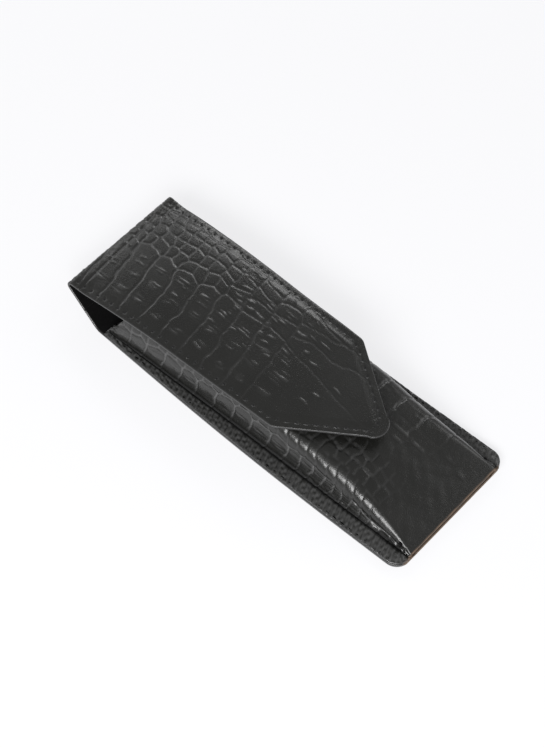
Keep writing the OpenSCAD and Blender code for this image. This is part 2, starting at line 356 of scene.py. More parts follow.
@dataclass
class FlapOutline:
    """The flap's plan: two sides, and a pointed end with a rounded tip and shoulders."""

    form: CaseForm

    def __post_init__(self) -> None:
        """Finds the arcs at the shoulders and the tip."""
        form = self.form
        slope = form.point_len / form.shoulder_x
        self.sharp_y = form.tip_y - form.point_r * (math.hypot(1.0, slope) - 1)
        fold = np.array([form.fold_x, form.fold_y])
        shoulder = np.array([form.shoulder_x, form.shoulder_y])
        side = unit(fold - shoulder)
        slant = unit(np.array([0.0, self.sharp_y]) - shoulder)
        half = math.acos(float(side @ slant)) / 2
        inward = unit(side + slant)
        self.shoulder_arc = shoulder + inward * form.point_r / math.sin(half)
        self.corner = self.shoulder_arc - inward * form.point_r
        self.side_end = shoulder + side * form.point_r / math.tan(half)
        self.slant_start = shoulder + slant * form.point_r / math.tan(half)
        self.slant = slant
        self.tip_arc_y = form.tip_y + form.point_r
        self.tip_reach = form.point_r * -slant[1]

    def side_x(self, y: Array) -> Array:
        """Half width of the flap beside a place along it, down to the corner."""
        form = self.form
        line = form.shoulder_x + (form.fold_x - form.shoulder_x) * (
            (y - form.shoulder_y) / (form.fold_y - form.shoulder_y))
        rise = np.clip(y - self.shoulder_arc[1], -form.point_r, form.point_r)
        arc = self.shoulder_arc[0] + np.sqrt(form.point_r**2 - rise**2)
        return np.where(y < self.side_end[1], arc, line)

    def end_y(self, x: Array) -> Array:
        """Where the pointed end is at each place across, out to the corner."""
        form = self.form
        out = np.abs(x)
        line = self.slant_start[1] + (out - self.slant_start[0]) * self.slant[1] / self.slant[0]
        reach = np.clip(out - self.shoulder_arc[0], -form.point_r, form.point_r)
        shoulder = self.shoulder_arc[1] - np.sqrt(form.point_r**2 - reach**2)
        tip = self.tip_arc_y - np.sqrt(np.maximum(form.point_r**2 - np.minimum(out, form.point_r) ** 2, 0))
        return np.where(out < self.tip_reach, tip, np.where(out > self.slant_start[0], shoulder, line))

    def gap(self, x: Array, y: Array) -> Array:
        """Distance of a place on the flap from the nearest edge."""
        out = np.abs(x)
        side = self.side_x(np.maximum(y, self.side_end[1])) - out
        slant = (y - self.sharp_y) * -self.slant[0] - out * -self.slant[1]
        tip = self.form.point_r - np.hypot(out, y - self.tip_arc_y)
        at_tip = (y < self.tip_arc_y) & (out < self.tip_reach)
        return np.where(at_tip, tip, np.minimum(side, slant))


# ---------------------------------------------------------------- the embossed scales


@dataclass
class Relief:
    """What the press left: a height in millimetres, how much each place is groove, and how much it is
    painted lighter, partly as wear and partly as painted highlight.
    """

    height: Array
    groove: Array
    wear_and_painted_light: Array

    def fade(self, share: Array) -> None:
        """Keeps this share of the relief."""
        self.height *= share
        self.groove *= share
        self.wear_and_painted_light *= share


@dataclass
class ScaleField:
    """Embossed scales: one seed for each scale, and a groove wherever two scales meet."""

    seed: int
    groove_w: float = 0.27
    corner: float = 0.16
    dash_w: float = 0.28
    dash_highlight: float = 1.3
    soft_share: float = 0.1
    soft_reach: float = 0.9
    neighbours: int = 8
    chunk: int = 4000

    def __post_init__(self) -> None:
        """Starts an empty field with its own random numbers."""
        self.random = np.random.default_rng(self.seed)
        self.seeds: list[tuple[float, float, int, float]] = []
        self.dashes: list[tuple[float, float, float, float]] = []

    def add(self, a: float, b: float, row: int, depth: float, stray: float) -> None:
        """Adds one scale.

        Args:
            a: Its place across the leather.
            b: Its place along the leather.
            row: Number of the row it belongs to, or -1 on its own.
            depth: Depth of the groove round it.
            stray: How far it may stand from its place.
        """
        a += self.random.uniform(-stray, stray)
        b += self.random.uniform(-stray, stray)
        self.seeds.append((a, b, row, depth))

    def dash(self, a: float, b: float, length: float, depth: float) -> None:
        """Adds one short wrinkle along the leather."""
        self.dashes.append((a, b, length, depth))

    def scatter(self, count: int, at: tuple[float, float], reach: tuple[float, float],
                length: tuple[float, float], depth: tuple[float, float]) -> None:
        """Adds wrinkles at random.

        Args:
            count: How many.
            at: The place round which they stand.
            reach: How far from it they may stand, across and along.
            length: Their least and greatest length.
            depth: Their least and greatest depth.
        """
        uniform = self.random.uniform
        for _ in range(count):
            self.dash(at[0] + uniform(-reach[0], reach[0]), at[1] + uniform(-reach[1], reach[1]),
                      uniform(*length), uniform(*depth))

    def press(self, a: Array, b: Array, row_link: float) -> Relief:
        """Works out the relief.

        Args:
            a: Places across the leather.
            b: Places along the leather.
            row_link: How deep a groove within a row is beside the groove between rows.

        Returns:
            The relief at each place.
        """
        seeds = np.array(self.seeds)
        centres, row, depth = seeds[:, :2], seeds[:, 2], seeds[:, 3]
        points = np.stack([a.ravel(), b.ravel()], 1)
        height = np.zeros(len(points))
        groove = np.zeros(len(points))
        for start in range(0, len(points), self.chunk):
            part = points[start:start + self.chunk]
            square = ((part[:, None, :] - centres[None, :, :]) ** 2).sum(2)
            near = np.argpartition(square, self.neighbours - 1, axis=1)[:, :self.neighbours]
            near_square = np.take_along_axis(square, near, 1)
            order = np.argsort(near_square, axis=1)
            near = np.take_along_axis(near, order, 1)
            near_square = np.take_along_axis(near_square, order, 1)
            own, others = near[:, :1], near[:, 1:]
            apart = np.linalg.norm(centres[others] - centres[own], axis=2)
            edge = (near_square[:, 1:] - near_square[:, :1]) / (2 * np.maximum(apart, 1e-6))
            least = edge.min(1)
            weight = np.exp(-(edge - least[:, None]) / self.corner)
            same_row = (row[others] == row[own]) & (row[own] >= 0)
            pair = np.minimum(depth[others], depth[own]) * np.where(same_row, row_link, 1.0)
            strength = (pair * weight).sum(1) / weight.sum(1)
            rounded = np.maximum(least - self.corner * np.log(weight.sum(1)), 0.0)
            cut = np.exp(-((rounded / self.groove_w) ** 2))
            soft = np.exp(-rounded / self.soft_reach)
            shape = (1 - self.soft_share) * cut + self.soft_share * soft
            height[start:start + self.chunk] = -strength * shape
            groove[start:start + self.chunk] = cut * strength
        # Grooves are painted lighter: partly wax and wear, partly a painted highlight standing in for the
        # light on their walls.
        wear_and_painted_light = groove.copy()
        for across, along, length, deep in self.dashes:
            aside = (points[:, 0] - across) / self.dash_w
            ahead = (points[:, 1] - along) / length * 2
            shape = np.exp(-(aside**2) - ahead**4)
            height += deep * shape
            # Raised wrinkles get a painted highlight.
            wear_and_painted_light += max(deep, 0.0) * self.dash_highlight * shape
        return Relief(height.reshape(a.shape), groove.reshape(a.shape), wear_and_painted_light.reshape(a.shape))


@dataclass
class BlankScales:
    """The scales of the long blank: broad belly rows, with small round scales beside them."""

    row_pitch: float = 10.35
    row_shift: float = -0.4
    rows: tuple[int, int] = (-16, 9)
    tip_row: int = 5
    slant: float = 0.155
    slant_x: float = -5.0
    deep: float = 0.3
    link: float = 0.12
    columns: tuple[float, ...] = (-29.5, -21.5, -13.5, -5.9, 1.6)
    wrinkle_columns: tuple[float, ...] = (-17.5, -9.7, -2.0)
    small_from: float = 6.9
    small_to: float = 32.0
    small_share: float = 0.85
    tip_columns: tuple[float, ...] = (6.6, 12.0, 17.4, 22.8, 28.4)
    tip_stagger: float = 2.6
    tip_share: float = 0.7
    tip_wrinkles: tuple[tuple[float, float, float], ...] = (
        (13, 96, 4), (4, 97, 4), (0.5, 110, 5), (-10, 101, 4), (-4, 104, 3))
    tip_wrinkle_h: float = 0.42

    def __post_init__(self) -> None:
        """Lays out the rows from the foot of the back to the tip of the flap."""
        self.field = ScaleField(seed=11)
        for row in range(*self.rows):
            along = self.row_shift + self.row_pitch * (row + 0.5)
            deep = self.deep * max(0.55, 1.0 - max(0, row - 7) * 0.2)
            self.add_broad(row, along, deep)
            if row < self.tip_row:
                self.add_small(along)
            else:
                self.add_tip(row, along, deep)
        for across, along, length in self.tip_wrinkles:
            self.field.dash(across, along, length, self.tip_wrinkle_h)

    def add_broad(self, row: int, along: float, deep: float) -> None:
        """Adds one row of broad scales with their wrinkles."""
        for column in self.columns:
            self.field.add(column, along, row - self.rows[0], deep, 0.28)
        for column in self.wrinkle_columns:
            count = self.field.random.integers(2, 5)
            self.field.scatter(count, (column, along), (1.9, 1.4), (2.4, 5.4), (0.1, 0.27))

    def add_small(self, along: float) -> None:
        """Adds the two lines of small round scales beside one broad row."""
        for half in (-0.25, 0.25):
            place = self.small_from
            while place < self.small_to:
                self.field.add(place, along + half * self.row_pitch, -1, self.deep * self.small_share, 0.95)
                place += self.field.random.uniform(4.0, 5.2)

    def add_tip(self, row: int, along: float, deep: float) -> None:
        """Adds the uneven scales and wrinkles of the pointed end."""
        for column in self.tip_columns:
            self.field.add(column + self.tip_stagger * (row % 2), along, -1, deep * self.tip_share, 1.3)
        self.field.scatter(13, (7.5, along), (15.5, 4.5), (1.5, 4.5), (0.14, 0.4))

    def press(self, x: Array, run: Array) -> Relief:
        """Relief at places across the blank and along it, measured from the fold.

        Args:
            x: Places across.
            run: Places along, growing towards the tip.

        Returns:
            The relief, without the stitched margins.
        """
        bent = run + self.slant * (x - self.slant_x) + 0.5 * np.sin(x / 9.0)
        warp_a = ripples(x, bent, (17.0, 0.55, 3), (5.0, 0.18, 4))
        warp_b = ripples(x, bent, (19.0, 0.6, 5), (6.0, 0.22, 6))
        relief = self.field.press(x + warp_a, bent + warp_b, self.link)
        left_edge = 1 - 0.5 * smooth(-19.0, -25.0, x)
        flap_end = (1 - 0.25 * smooth(74.0, 92.0, run)) * (1 - 0.5 * smooth(114.0, 126.0, run))
        fold = 1 + 0.4 * bump(run, 8.0, 14.0)
        relief.fade(left_edge * flap_end * fold)
        return relief


@dataclass
class PocketScales:
    """The scales of the front and its gussets. Across is measured over the ridges."""

    form: CaseForm
    ridge: float = 22.0
    deep: float = 0.34
    link: float = 0.35
    front_start: float = 13.5
    front_pitch: float = 10.2
    front_columns: tuple[tuple[float, float, float, float], ...] = (
        (18.9, 0.0, 1.5, 0.3), (25.4, 0.0, 1.5, 0.3), (12.6, 1.0, 0.8, 0.7),
        (7.4, -1.0, 0.25, 0.8), (2.0, 0.5, 0.18, 0.8), (-3.4, -0.5, 0.18, 0.8))
    net_pitch: float = 4.7
    net_columns: tuple[tuple[float, float], ...] = ((-8.4, 1.1), (-12.8, 1.5), (-17.2, 1.5))
    edge_pitch: float = 4.4
    gusset_line: float = 11.0
    gusset_share: float = 1.9
    flange_pitch: float = 6.1
    flange_line: float = 40.0
    wrinkles: tuple[tuple[float, float, float, float], ...] = (
        (13.7, 13, 4, 2.2), (11.5, 6.5, 3.4, 2.6), (10, 33, 7, 0.3), (10, 24, 6, 0.4), (5.5, 30, 6, 0.3))

    def __post_init__(self) -> None:
        """Lays out the front's scales, the small ones over the ridges and the gussets' rows."""
        self.field = ScaleField(seed=29)
        self.length = self.form.mouth_foot_y - self.form.foot_y
        self.add_front()
        for side in Side:
            self.add_gusset(side.value)
        for wrinkle in self.wrinkles:
            self.field.dash(*wrinkle)

    def add_front(self) -> None:
        """Adds the front's columns of scales, then the net of small ones towards the left ridge."""
        for row in range(15):
            along = self.front_start + self.front_pitch * row
            for column, shift, share, stray in self.front_columns:
                self.field.add(column, along + shift, row, self.deep * share, stray)
        for along in np.arange(2.0, self.length + 6, self.net_pitch):
            for column, share in self.net_columns:
                self.field.add(column, along, -1, self.deep * share, 0.85)
        for along in np.arange(6.0, self.length + 8, self.edge_pitch):
            self.field.add(-self.ridge - 3.4, along, -1, self.deep * 1.1, 0.25)

    def add_gusset(self, side: int) -> None:
        """Adds one gusset's row of scales with their wrinkles, and the scales of its flange."""
        field, uniform = self.field, self.field.random.uniform
        along = 8.0
        while along < self.length + 10:
            pitch = 4.5 + 4.0 * float(smooth(42.0, 66.0, np.array(along)))
            middle = along + pitch / 2
            line_x = side * (self.ridge + self.gusset_line)
            field.add(line_x, middle, -1, self.deep * self.gusset_share, 0.35)
            for _ in range(4):
                field.dash(side * (self.ridge + uniform(6.0, 15.0)), middle + uniform(-1.5, 1.5),
                           pitch * 0.5, uniform(-0.3, 0.05))
            along += pitch
        for along in np.arange(4.0, self.length + 8, self.flange_pitch):
            field.add(side * (self.ridge + self.flange_line), along, -1, self.deep * 0.5, 1.2)

    def press(self, across: Array, along: Array) -> Relief:
        """Relief at places across, over the ridges, and along from the foot edge."""
        warp_a = ripples(across, along, (15.0, 0.45, 13), (4.6, 0.16, 14))
        warp_b = ripples(across, along, (17.0, 0.5, 15), (5.2, 0.2, 16))
        out = np.abs(across) - self.ridge
        bow = 1.9 * np.sin(math.pi * np.clip((out - 1.0) / 17.0, 0.0, 1.0))
        relief = self.field.press(across + warp_a, along + warp_b + bow, self.link)
        on_front, on_ridge = smooth(1.0, -2.0, out), smooth(6.0, 3.5, out)
        front_foot, ridge_foot = 1 - smooth(10.0, 24.0, along), 1 - smooth(14.0, 30.0, along)
        relief.fade((1 - 0.75 * on_front * front_foot) * (1 - 0.8 * on_ridge * ridge_foot))
        return relief


# ---------------------------------------------------------------- finishes


class NodeBench:
    """Places and joins nodes in one node tree."""

    def __init__(self, tree: bpy.types.NodeTree) -> None:
        """Works on this tree."""
        self.tree = tree

    def add(self, kind: str, **settings: object) -> bpy.types.Node:
        """Adds a node and sets its properties."""
        node = self.tree.nodes.new(kind)
        for name, value in settings.items():
            setattr(node, name, value)
        return node

    def feed(self, node: bpy.types.Node, **inputs: object) -> bpy.types.Node:
        """Sets or joins a node's inputs, named in lower case with underscores.

        Args:
            node: The node that takes them.
            **inputs: A socket to join, or a value to set.

        Returns:
            The same node.
        """
        sockets = {socket.name.lower().replace(" ", "_"): socket for socket in reversed(node.inputs)}
        for name, value in inputs.items():
            target = node.inputs[int(name[1:])] if name[0] == "_" else sockets[name]
            if isinstance(value, bpy.types.NodeSocket):
                self.tree.links.new(value, target)
            else:
                target.default_value = value
        return node

    def work(self, kind: str, operation: str, values: Sequence[object]) -> bpy.types.Node:
        """Adds a node that works on values in order, skipping those that are None."""
        given = {f"_{i}": value for i, value in enumerate(values) if value is not None}
        return self.feed(self.add(kind, operation=operation), **given)

    def math(self, operation: str, *values: object) -> bpy.types.NodeSocket:
        """One sum of two or three values."""
        return self.work("ShaderNodeMath", operation, values).outputs[0]

    def vector(self, operation: str, *values: object) -> bpy.types.NodeSocket:
        """One sum of vectors; a scale is the fourth value."""
        return self.work("ShaderNodeVectorMath", operation, values).outputs[0]

    def noise(self, where: bpy.types.NodeSocket, scale: float, detail: float = 3.0) -> bpy.types.NodeSocket:
        """A noise value from 0 to 1."""
        node = self.feed(self.add("ShaderNodeTexNoise"), vector=where, scale=scale, detail=detail)
        return node.outputs[0]

    def cells(self, where: bpy.types.NodeSocket, feature: str, scale: float) -> bpy.types.NodeSocket:
        """The distances in a pattern of cells."""
        node = self.feed(self.add("ShaderNodeTexVoronoi", feature=feature), vector=where, scale=scale)
        return node.outputs["Distance"]

    def span(self, value: bpy.types.NodeSocket, low: float, high: float, a: float,
             b: float) -> bpy.types.NodeSocket:
        """Maps a value from low..high to a..b."""
        node = self.add("ShaderNodeMapRange")
        return self.feed(node, value=value, _1=low, _2=high, _3=a, _4=b).outputs[0]

    def tint(self, share: bpy.types.NodeSocket, a: object, b: object) -> bpy.types.NodeSocket:
        """A colour between a and b."""
        node = self.add("ShaderNodeMix", data_type="RGBA")
        self.feed(node, _0=share, _6=a, _7=b)
        return node.outputs[2]


def colour(red: float, green: float, blue: float) -> tuple[float, float, float, float]:
    """A solid colour."""
    return (red, green, blue, 1.0)


def grey(value: float) -> tuple[float, float, float, float]:
    """A solid grey."""
    return colour(value, value, value)


def new_group(name: str, inputs: dict[str, float],
              outputs: Sequence[str]) -> tuple[NodeBench, object, object]:
    """Starts a shader node group.

    Args:
        name: The group's name.
        inputs: Its value inputs with their defaults; it also has a vector input named Place.
        outputs: Its value outputs.

    Returns:
        The bench, the group's input node and its output node.
    """
    tree = bpy.data.node_groups.new(name, "ShaderNodeTree")
    tree.interface.new_socket("Place", in_out="INPUT", socket_type="NodeSocketVector")
    for label, value in inputs.items():
        socket = tree.interface.new_socket(label, in_out="INPUT", socket_type="NodeSocketFloat")
        socket.default_value = value
    for label in outputs:
        tree.interface.new_socket(label, in_out="OUTPUT", socket_type="NodeSocketFloat")
    bench = NodeBench(tree)
    return bench, bench.add("NodeGroupInput"), bench.add("NodeGroupOutput")


def leather_grain() -> bpy.types.NodeTree:
    """The grain between the grooves: pores, hair creases and slow changes of polish."""
    bench, given, result = new_group(
        "leather_grain", {"Fineness": 1.0, "Creases": 1.0}, ("Height", "Polish", "Tone"))
    off_lattice = (0.0031, 0.0057, 0.01765)
    lifted = bench.vector("ADD", given.outputs["Place"], off_lattice)
    place = bench.vector("SCALE", lifted, None, None, given.outputs["Fineness"])
    pits = bench.span(bench.cells(place, "F1", 145.0), 0.0, 0.34, -1.0, 0.0)
    fine = bench.noise(place, 170.0, 3.0)
    bent = bench.feed(bench.add("ShaderNodeTexNoise"), vector=place, scale=34.0, detail=2.0)
    pulled = bench.vector("MULTIPLY_ADD", bent.outputs["Color"], (0.018, 0.018, 0.018), place)
    crease = bench.span(bench.cells(pulled, "DISTANCE_TO_EDGE", 62.0), 0.0, 0.06, -1.0, 0.0)
    where = bench.span(bench.noise(place, 9.0, 2.0), 0.46, 0.62, 0.0, 1.0)
    crease = bench.math("MULTIPLY", bench.math("MULTIPLY", crease, where), given.outputs["Creases"])
    height = bench.math("MULTIPLY_ADD", pits, 0.35, bench.math("MULTIPLY", fine, 0.8))
    height = bench.math("MULTIPLY_ADD", crease, 0.35, height)
    slow = bench.math("MULTIPLY", bench.noise(place, 5.5, 3.0), 0.65)
    polish = bench.math("MULTIPLY_ADD", fine, 0.35, slow)
    bench.feed(result, height=height, polish=polish, tone=bench.noise(place, 13.0, 4.0))
    return bench.tree


def fibre_nap() -> bpy.types.NodeTree:
    """Short felted fibres, for suede, board and thread."""
    bench, given, result = new_group("fibre_nap", {"Fineness": 1.0, "Lay": 1.0}, ("Height", "Tone"))
    place = bench.vector("SCALE", given.outputs["Place"], None, None, given.outputs["Fineness"])
    stretch = bench.feed(bench.add("ShaderNodeCombineXYZ"), x=given.outputs["Lay"], y=1.0, z=1.0)
    fibres = bench.noise(bench.vector("MULTIPLY", place, stretch.outputs[0]), 320.0, 5.0)
    clumps = bench.noise(place, 60.0, 3.0)
    bench.feed(result, height=bench.math("MULTIPLY_ADD", clumps, 0.6, fibres), tone=clumps)
    return bench.tree


class Finish:
    """One material, made when the finish is made."""

    name = "finish"
    slot = ""

    def __init__(self) -> None:
        """Makes the material."""
        self.material = bpy.data.materials.new(self.name)
        self.material.use_nodes = True
        self.bench = NodeBench(self.material.node_tree)
        self.shader = self.material.node_tree.nodes["Principled BSDF"]
        self.build()

    def build(self) -> None:
        """Joins the material's nodes."""

    def mapped(self) -> bpy.types.NodeSocket:
        """The piece's own UV map, which follows the leather."""
        return self.bench.add("ShaderNodeTexCoord").outputs["UV"]

    def placed(self) -> bpy.types.NodeSocket:
        """Object coordinates, ten to the metre."""
        where = self.bench.add("ShaderNodeTexCoord").outputs["Object"]
        return self.bench.vector("SCALE", where, None, None, 10.0)

    def mask(self, name: str) -> bpy.types.NodeSocket:
        """A mask that the mesh carries."""
        return self.bench.add("ShaderNodeAttribute", attribute_name=name).outputs["Fac"]

    def group(self, tree: bpy.types.NodeTree, place: bpy.types.NodeSocket,
              **values: float) -> bpy.types.Node:
        """Places a node group."""
        node = self.bench.add("ShaderNodeGroup", node_tree=tree)
        return self.bench.feed(node, place=place, **values)

    def raise_by(self, height: bpy.types.NodeSocket, depth: float) -> None:
        """Feeds a height to the shader's normal, where 1 stands for a depth in millimetres."""
        node = self.bench.add("ShaderNodeBump")
        self.bench.feed(node, height=height, distance=depth * MM, strength=1.0)
        self.bench.feed(self.shader, normal=node.outputs[0])


class EmbossedLeather(Finish):
    """Black leather with a satin top coat, duller in the grooves and smooth on its painted edge. Its colour
    also carries painted light: painted shade in the grooves and needle holes, and painted highlight, partly
    wear, on grooves, wrinkles and edges.
    """

    name = "embossed_leather"
    slot = "embossed_leather"
    dark = colour(0.0067, 0.0068, 0.0061)
    light = colour(0.0112, 0.0111, 0.01)
    # Painted shade for the grooves.
    in_groove = grey(0.0045)
    # Lighter grey for wear and for painted highlight and painted light.
    wear_and_highlight_grey = grey(0.1)
    # Edge paint, lightened as a painted highlight on the cut edges.
    painted = grey(0.034)
    # Painted shade in the needle holes and in the groove beside the gussets.
    hole = grey(0.001)
    tan = colour(0.17, 0.11, 0.07)

    def build(self) -> None:
        """Joins grain, groove and edge."""
        bench = self.bench
        grain = self.group(GROUPS["leather_grain"], self.mapped(), fineness=1.0, creases=0.0)
        groove, edge, raw = self.mask("groove"), self.mask("edge"), self.mask("raw")
        pricked = bench.span(groove, 0.5, 0.85, 0.0, 1.0)
        bare = bench.math("MAXIMUM", raw, pricked)
        tone = bench.tint(grain.outputs["Tone"], self.dark, self.light)
        for share, layer in (
                (bench.math("MULTIPLY", groove, 1.2), self.in_groove), (self.mask("wear_and_painted_light"), self.wear_and_highlight_grey),
                (edge, self.painted), (pricked, self.hole), (raw, self.tan)):
            tone = bench.tint(share, tone, layer)
        rough = bench.span(grain.outputs["Polish"], 0.3, 0.72, 0.23, 0.35)
        rough = bench.math("MULTIPLY_ADD", groove, 0.12, rough)
        rough = bench.math("MULTIPLY_ADD", bare, 0.45, rough)
        coat = bench.math("MULTIPLY", bench.math("SUBTRACT", 1.0, bare), 0.22)
        bench.feed(self.shader, base_color=tone, roughness=rough, coat_weight=coat,
                   coat_roughness=0.2, specular_ior_level=0.5)
        fill = bench.math("SUBTRACT", 1.0, bench.math("MULTIPLY", edge, 0.8))
        self.raise_by(bench.math("MULTIPLY", grain.outputs["Height"], fill), 0.08)


class PlainLeather(Finish):
    """The dressed leather of the tongue between the pens."""

    name = "plain_leather"
    slot = "embossed_leather"

    def build(self) -> None:
        """Joins grain and colour."""
        bench = self.bench
        grain = self.group(GROUPS["leather_grain"], self.mapped(), fineness=1.3, creases=0.4)
        tone = bench.tint(grain.outputs["Tone"], grey(0.012), colour(0.021, 0.0205, 0.02))
        rough = bench.span(grain.outputs["Polish"], 0.3, 0.72, 0.48, 0.64)
        bench.feed(self.shader, base_color=tone, roughness=rough)
        self.raise_by(grain.outputs["Height"], 0.05)


class SuedeLining(Finish):
    """A matt suede-like lining."""

    name = "suede_lining"
    slot = "lining"

    def build(self) -> None:
        """Joins nap and colour."""
        bench = self.bench
        nap = self.group(GROUPS["fibre_nap"], self.mapped(), fineness=1.0, lay=1.6)
        low, high = colour(0.0014, 0.0014, 0.0015), colour(0.0045, 0.0043, 0.0045)
        tone = bench.tint(nap.outputs["Tone"], low, high)
        rough = bench.span(nap.outputs["Height"], 0.4, 1.2, 0.98, 0.86)
        bench.feed(self.shader, base_color=tone, roughness=rough, specular_ior_level=0.07,
                   sheen_weight=0.03, sheen_roughness=0.5)
        self.raise_by(nap.outputs["Height"], 0.16)


class FibreBoard(Finish):
    """Grey-brown fibre board."""

    name = "fibre_board"
    slot = "board"

    def build(self) -> None:
        """Joins fibres and colour."""
        bench = self.bench
        nap = self.group(GROUPS["fibre_nap"], self.placed(), fineness=0.7, lay=0.5)
        tone = bench.tint(nap.outputs["Tone"], colour(0.3, 0.25, 0.18), colour(0.42, 0.36, 0.27))
        rough = bench.span(nap.outputs["Height"], 0.4, 1.2, 0.95, 0.82)
        bench.feed(self.shader, base_color=tone, roughness=rough)
        self.raise_by(nap.outputs["Height"], 0.08)


class TwistedThread(Finish):
    """Black bonded thread, twisted from three strands."""

    name = "twisted_thread"
    slot = "thread"

    def build(self) -> None:
        """Joins the twist and its fluff."""
        bench = self.bench
        nap = self.group(GROUPS["fibre_nap"], self.placed(), fineness=1.2, lay=1.0)
        wave = bench.add("ShaderNodeTexWave", bands_direction="DIAGONAL")
        bench.feed(wave, vector=self.mapped(), scale=24.0, distortion=0.6)
        tone = bench.tint(wave.outputs["Fac"], grey(0.002), grey(0.005))
        rough = bench.span(nap.outputs["Height"], 0.4, 1.2, 0.8, 0.66)
        bench.feed(self.shader, base_color=tone, roughness=rough, specular_ior_level=0.06)
        height = bench.math("MULTIPLY_ADD", nap.outputs["Height"], 0.3, wave.outputs["Fac"])
        self.raise_by(height, 0.06)


class NickelDisc(Finish):
    """Nickel plate with fine turning marks."""

    name = "nickel_disc"
    slot = "magnet"

    def build(self) -> None:
        """Joins turning marks and haze."""
        bench = self.bench
        where = self.placed()
        haze = bench.noise(where, 12.0, 4.0)
        tone = bench.tint(haze, colour(0.55, 0.55, 0.54), colour(0.68, 0.68, 0.67))
        rough = bench.span(haze, 0.3, 0.7, 0.22, 0.36)
        bench.feed(self.shader, base_color=tone, metallic=1.0, roughness=rough)
        self.raise_by(bench.noise(where, 420.0, 2.0), 0.01)


GROUPS = {"leather_grain": leather_grain(), "fibre_nap": fibre_nap()}


@dataclass
class Finishes:
    """The case's finishes."""

    leather: Finish = field(default_factory=EmbossedLeather)
    plain: Finish = field(default_factory=PlainLeather)
    lining: Finish = field(default_factory=SuedeLining)
    board: Finish = field(default_factory=FibreBoard)
    thread: Finish = field(default_factory=TwistedThread)
    magnet: Finish = field(default_factory=NickelDisc)


# ---------------------------------------------------------------- plates and stitches


class Plate:
    """A bent plate: a grid given a thickness, whose two faces then take their shape."""

    def __init__(self, name: str, columns: int, rows: int) -> None:
        """Makes the flat plate.

        Args:
            name: The piece's name.
            columns: Number of cells across.
            rows: Number of cells along.
        """
        self.name = name
        flat = bmesh.new()
        bmesh.ops.create_grid(flat, x_segments=columns, y_segments=rows, size=1.0)
        bmesh.ops.solidify(flat, geom=flat.faces[:], thickness=1.0)
        bmesh.ops.recalc_face_normals(flat, faces=flat.faces[:])
        self.mesh = bpy.data.meshes.new(name)
        flat.to_mesh(self.mesh)
        flat.free()
        place = np.zeros(len(self.mesh.vertices) * 3)
        self.mesh.vertices.foreach_get("co", place)
        place = place.reshape(-1, 3)
        self.column = np.rint((place[:, 0] + 1) / 2 * columns).astype(int)
        self.row = np.rint((place[:, 1] + 1) / 2 * rows).astype(int)
        self.upper = place[:, 2] > place[:, 2].mean()
        self.grid = np.meshgrid(np.arange(columns + 1), np.arange(rows + 1), indexing="ij")
        self.columns = columns
        self.rows = rows

    def rim(self) -> Array:
        """Distance of each grid point from the plate's nearest edge."""
        return np.minimum(rim_gap(self.grid[0], self.columns), rim_gap(self.grid[1], self.rows))

    def shape(self, face: Array, relief: Array | float, thickness: Array | float, round_r: float) -> None:
        """Bends the plate.

        Args:
            face: The outer face's place at each grid point, before its relief.
            relief: How far the outer face stands out there.
            thickness: The plate's thickness there.
            round_r: Radius of its rounded rim.
        """
        normal = outward(face)
        gap = np.minimum(self.rim(), round_r)
        drop = round_r - np.sqrt(np.maximum(round_r**2 - (round_r - gap) ** 2, 0.0))
        outer = face + normal * (relief - drop)[..., None]
        inner = face - normal * (thickness - drop)[..., None]
        at = (self.column, self.row)
        place = np.where(self.upper[:, None], outer[at], inner[at])
        self.mesh.vertices.foreach_set("co", (place * MM).ravel())

    def mask(self, name: str, upper: Array, lower: float = 0.0) -> None:
        """Gives each vertex a mask value, the inner face a share of the outer face's."""
        values = (upper[self.column, self.row] * np.where(self.upper, 1.0, lower)).astype(np.float32)
        self.mesh.attributes.new(name, "FLOAT", "POINT").data.foreach_set("value", values)

    def foot_rim(self) -> Array:
        """A mask of the plate's cut edge at its first row."""
        rows = self.grid[1]
        return (1 - smooth(0.1, 0.7, rim_gap(rows, self.rows))) * (rows < len(RIM_GAPS))

    def dress(self, relief: Relief, wear_and_painted_light: Array, raw: Array, across: Array, along: Array) -> None:
        """Gives leather its masks and its UV map.

        Args:
            relief: Its relief.
            wear_and_painted_light: How much each place is painted lighter, partly as wear and partly as
                painted light.
            raw: How bare each place's cut edge is.
            across: Distance across the leather.
            along: Distance along the leather.
        """
        self.mask("wear_and_painted_light", np.clip(wear_and_painted_light, 0.0, 1.0))
        self.mask("groove", np.clip(relief.groove, 0.0, 1.0))
        self.mask("edge", 1 - smooth(0.1, 0.5, self.rim()), 1.0)
        self.mask("raw", np.clip(raw, 0.0, 1.0), 1.0)
        self.map_leather(across, along)

    def map_leather(self, across: Array, along: Array) -> None:
        """Lays the UV map along the leather, in millimetres over UV_SPAN."""
        vertex = np.zeros(len(self.mesh.loops), dtype=int)
        self.mesh.loops.foreach_get("vertex_index", vertex)
        column, row = self.column[vertex], self.row[vertex]
        shift = np.where(self.upper[vertex], 0.0, UV_INNER_SHIFT)
        uv = np.stack([across[column, row] / UV_SPAN + shift, along[column, row] / UV_SPAN], 1)
        self.mesh.uv_layers.new(name="leather").data.foreach_set("uv", uv.ravel().astype(np.float32))

    def piece(self, finish: Finish) -> bpy.types.Object:
        """Turns the plate into a smooth-shaded piece with its finish."""
        return new_piece(self.name, self.mesh, finish)


def new_piece(name: str, mesh: bpy.types.Mesh, finish: Finish) -> bpy.types.Object:
    """Links a mesh as a smooth-shaded piece that takes its finish from a slot."""
    mesh.polygons.foreach_set("use_smooth", np.ones(len(mesh.polygons), dtype=bool))
    mesh.update()
    mesh.materials.append(finish.material)
    piece = bpy.data.objects.new(name, mesh)
    bpy.context.scene.collection.objects.link(piece)
    return piece


def on_case(piece: bpy.types.Object, *nodes: str) -> bpy.types.Object:
    """Puts a piece on the case's body in place of the frame's nodes."""
    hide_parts(*nodes)
    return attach(piece, Body.CASE.value)


Stitch = tuple[Array, Array, Array]


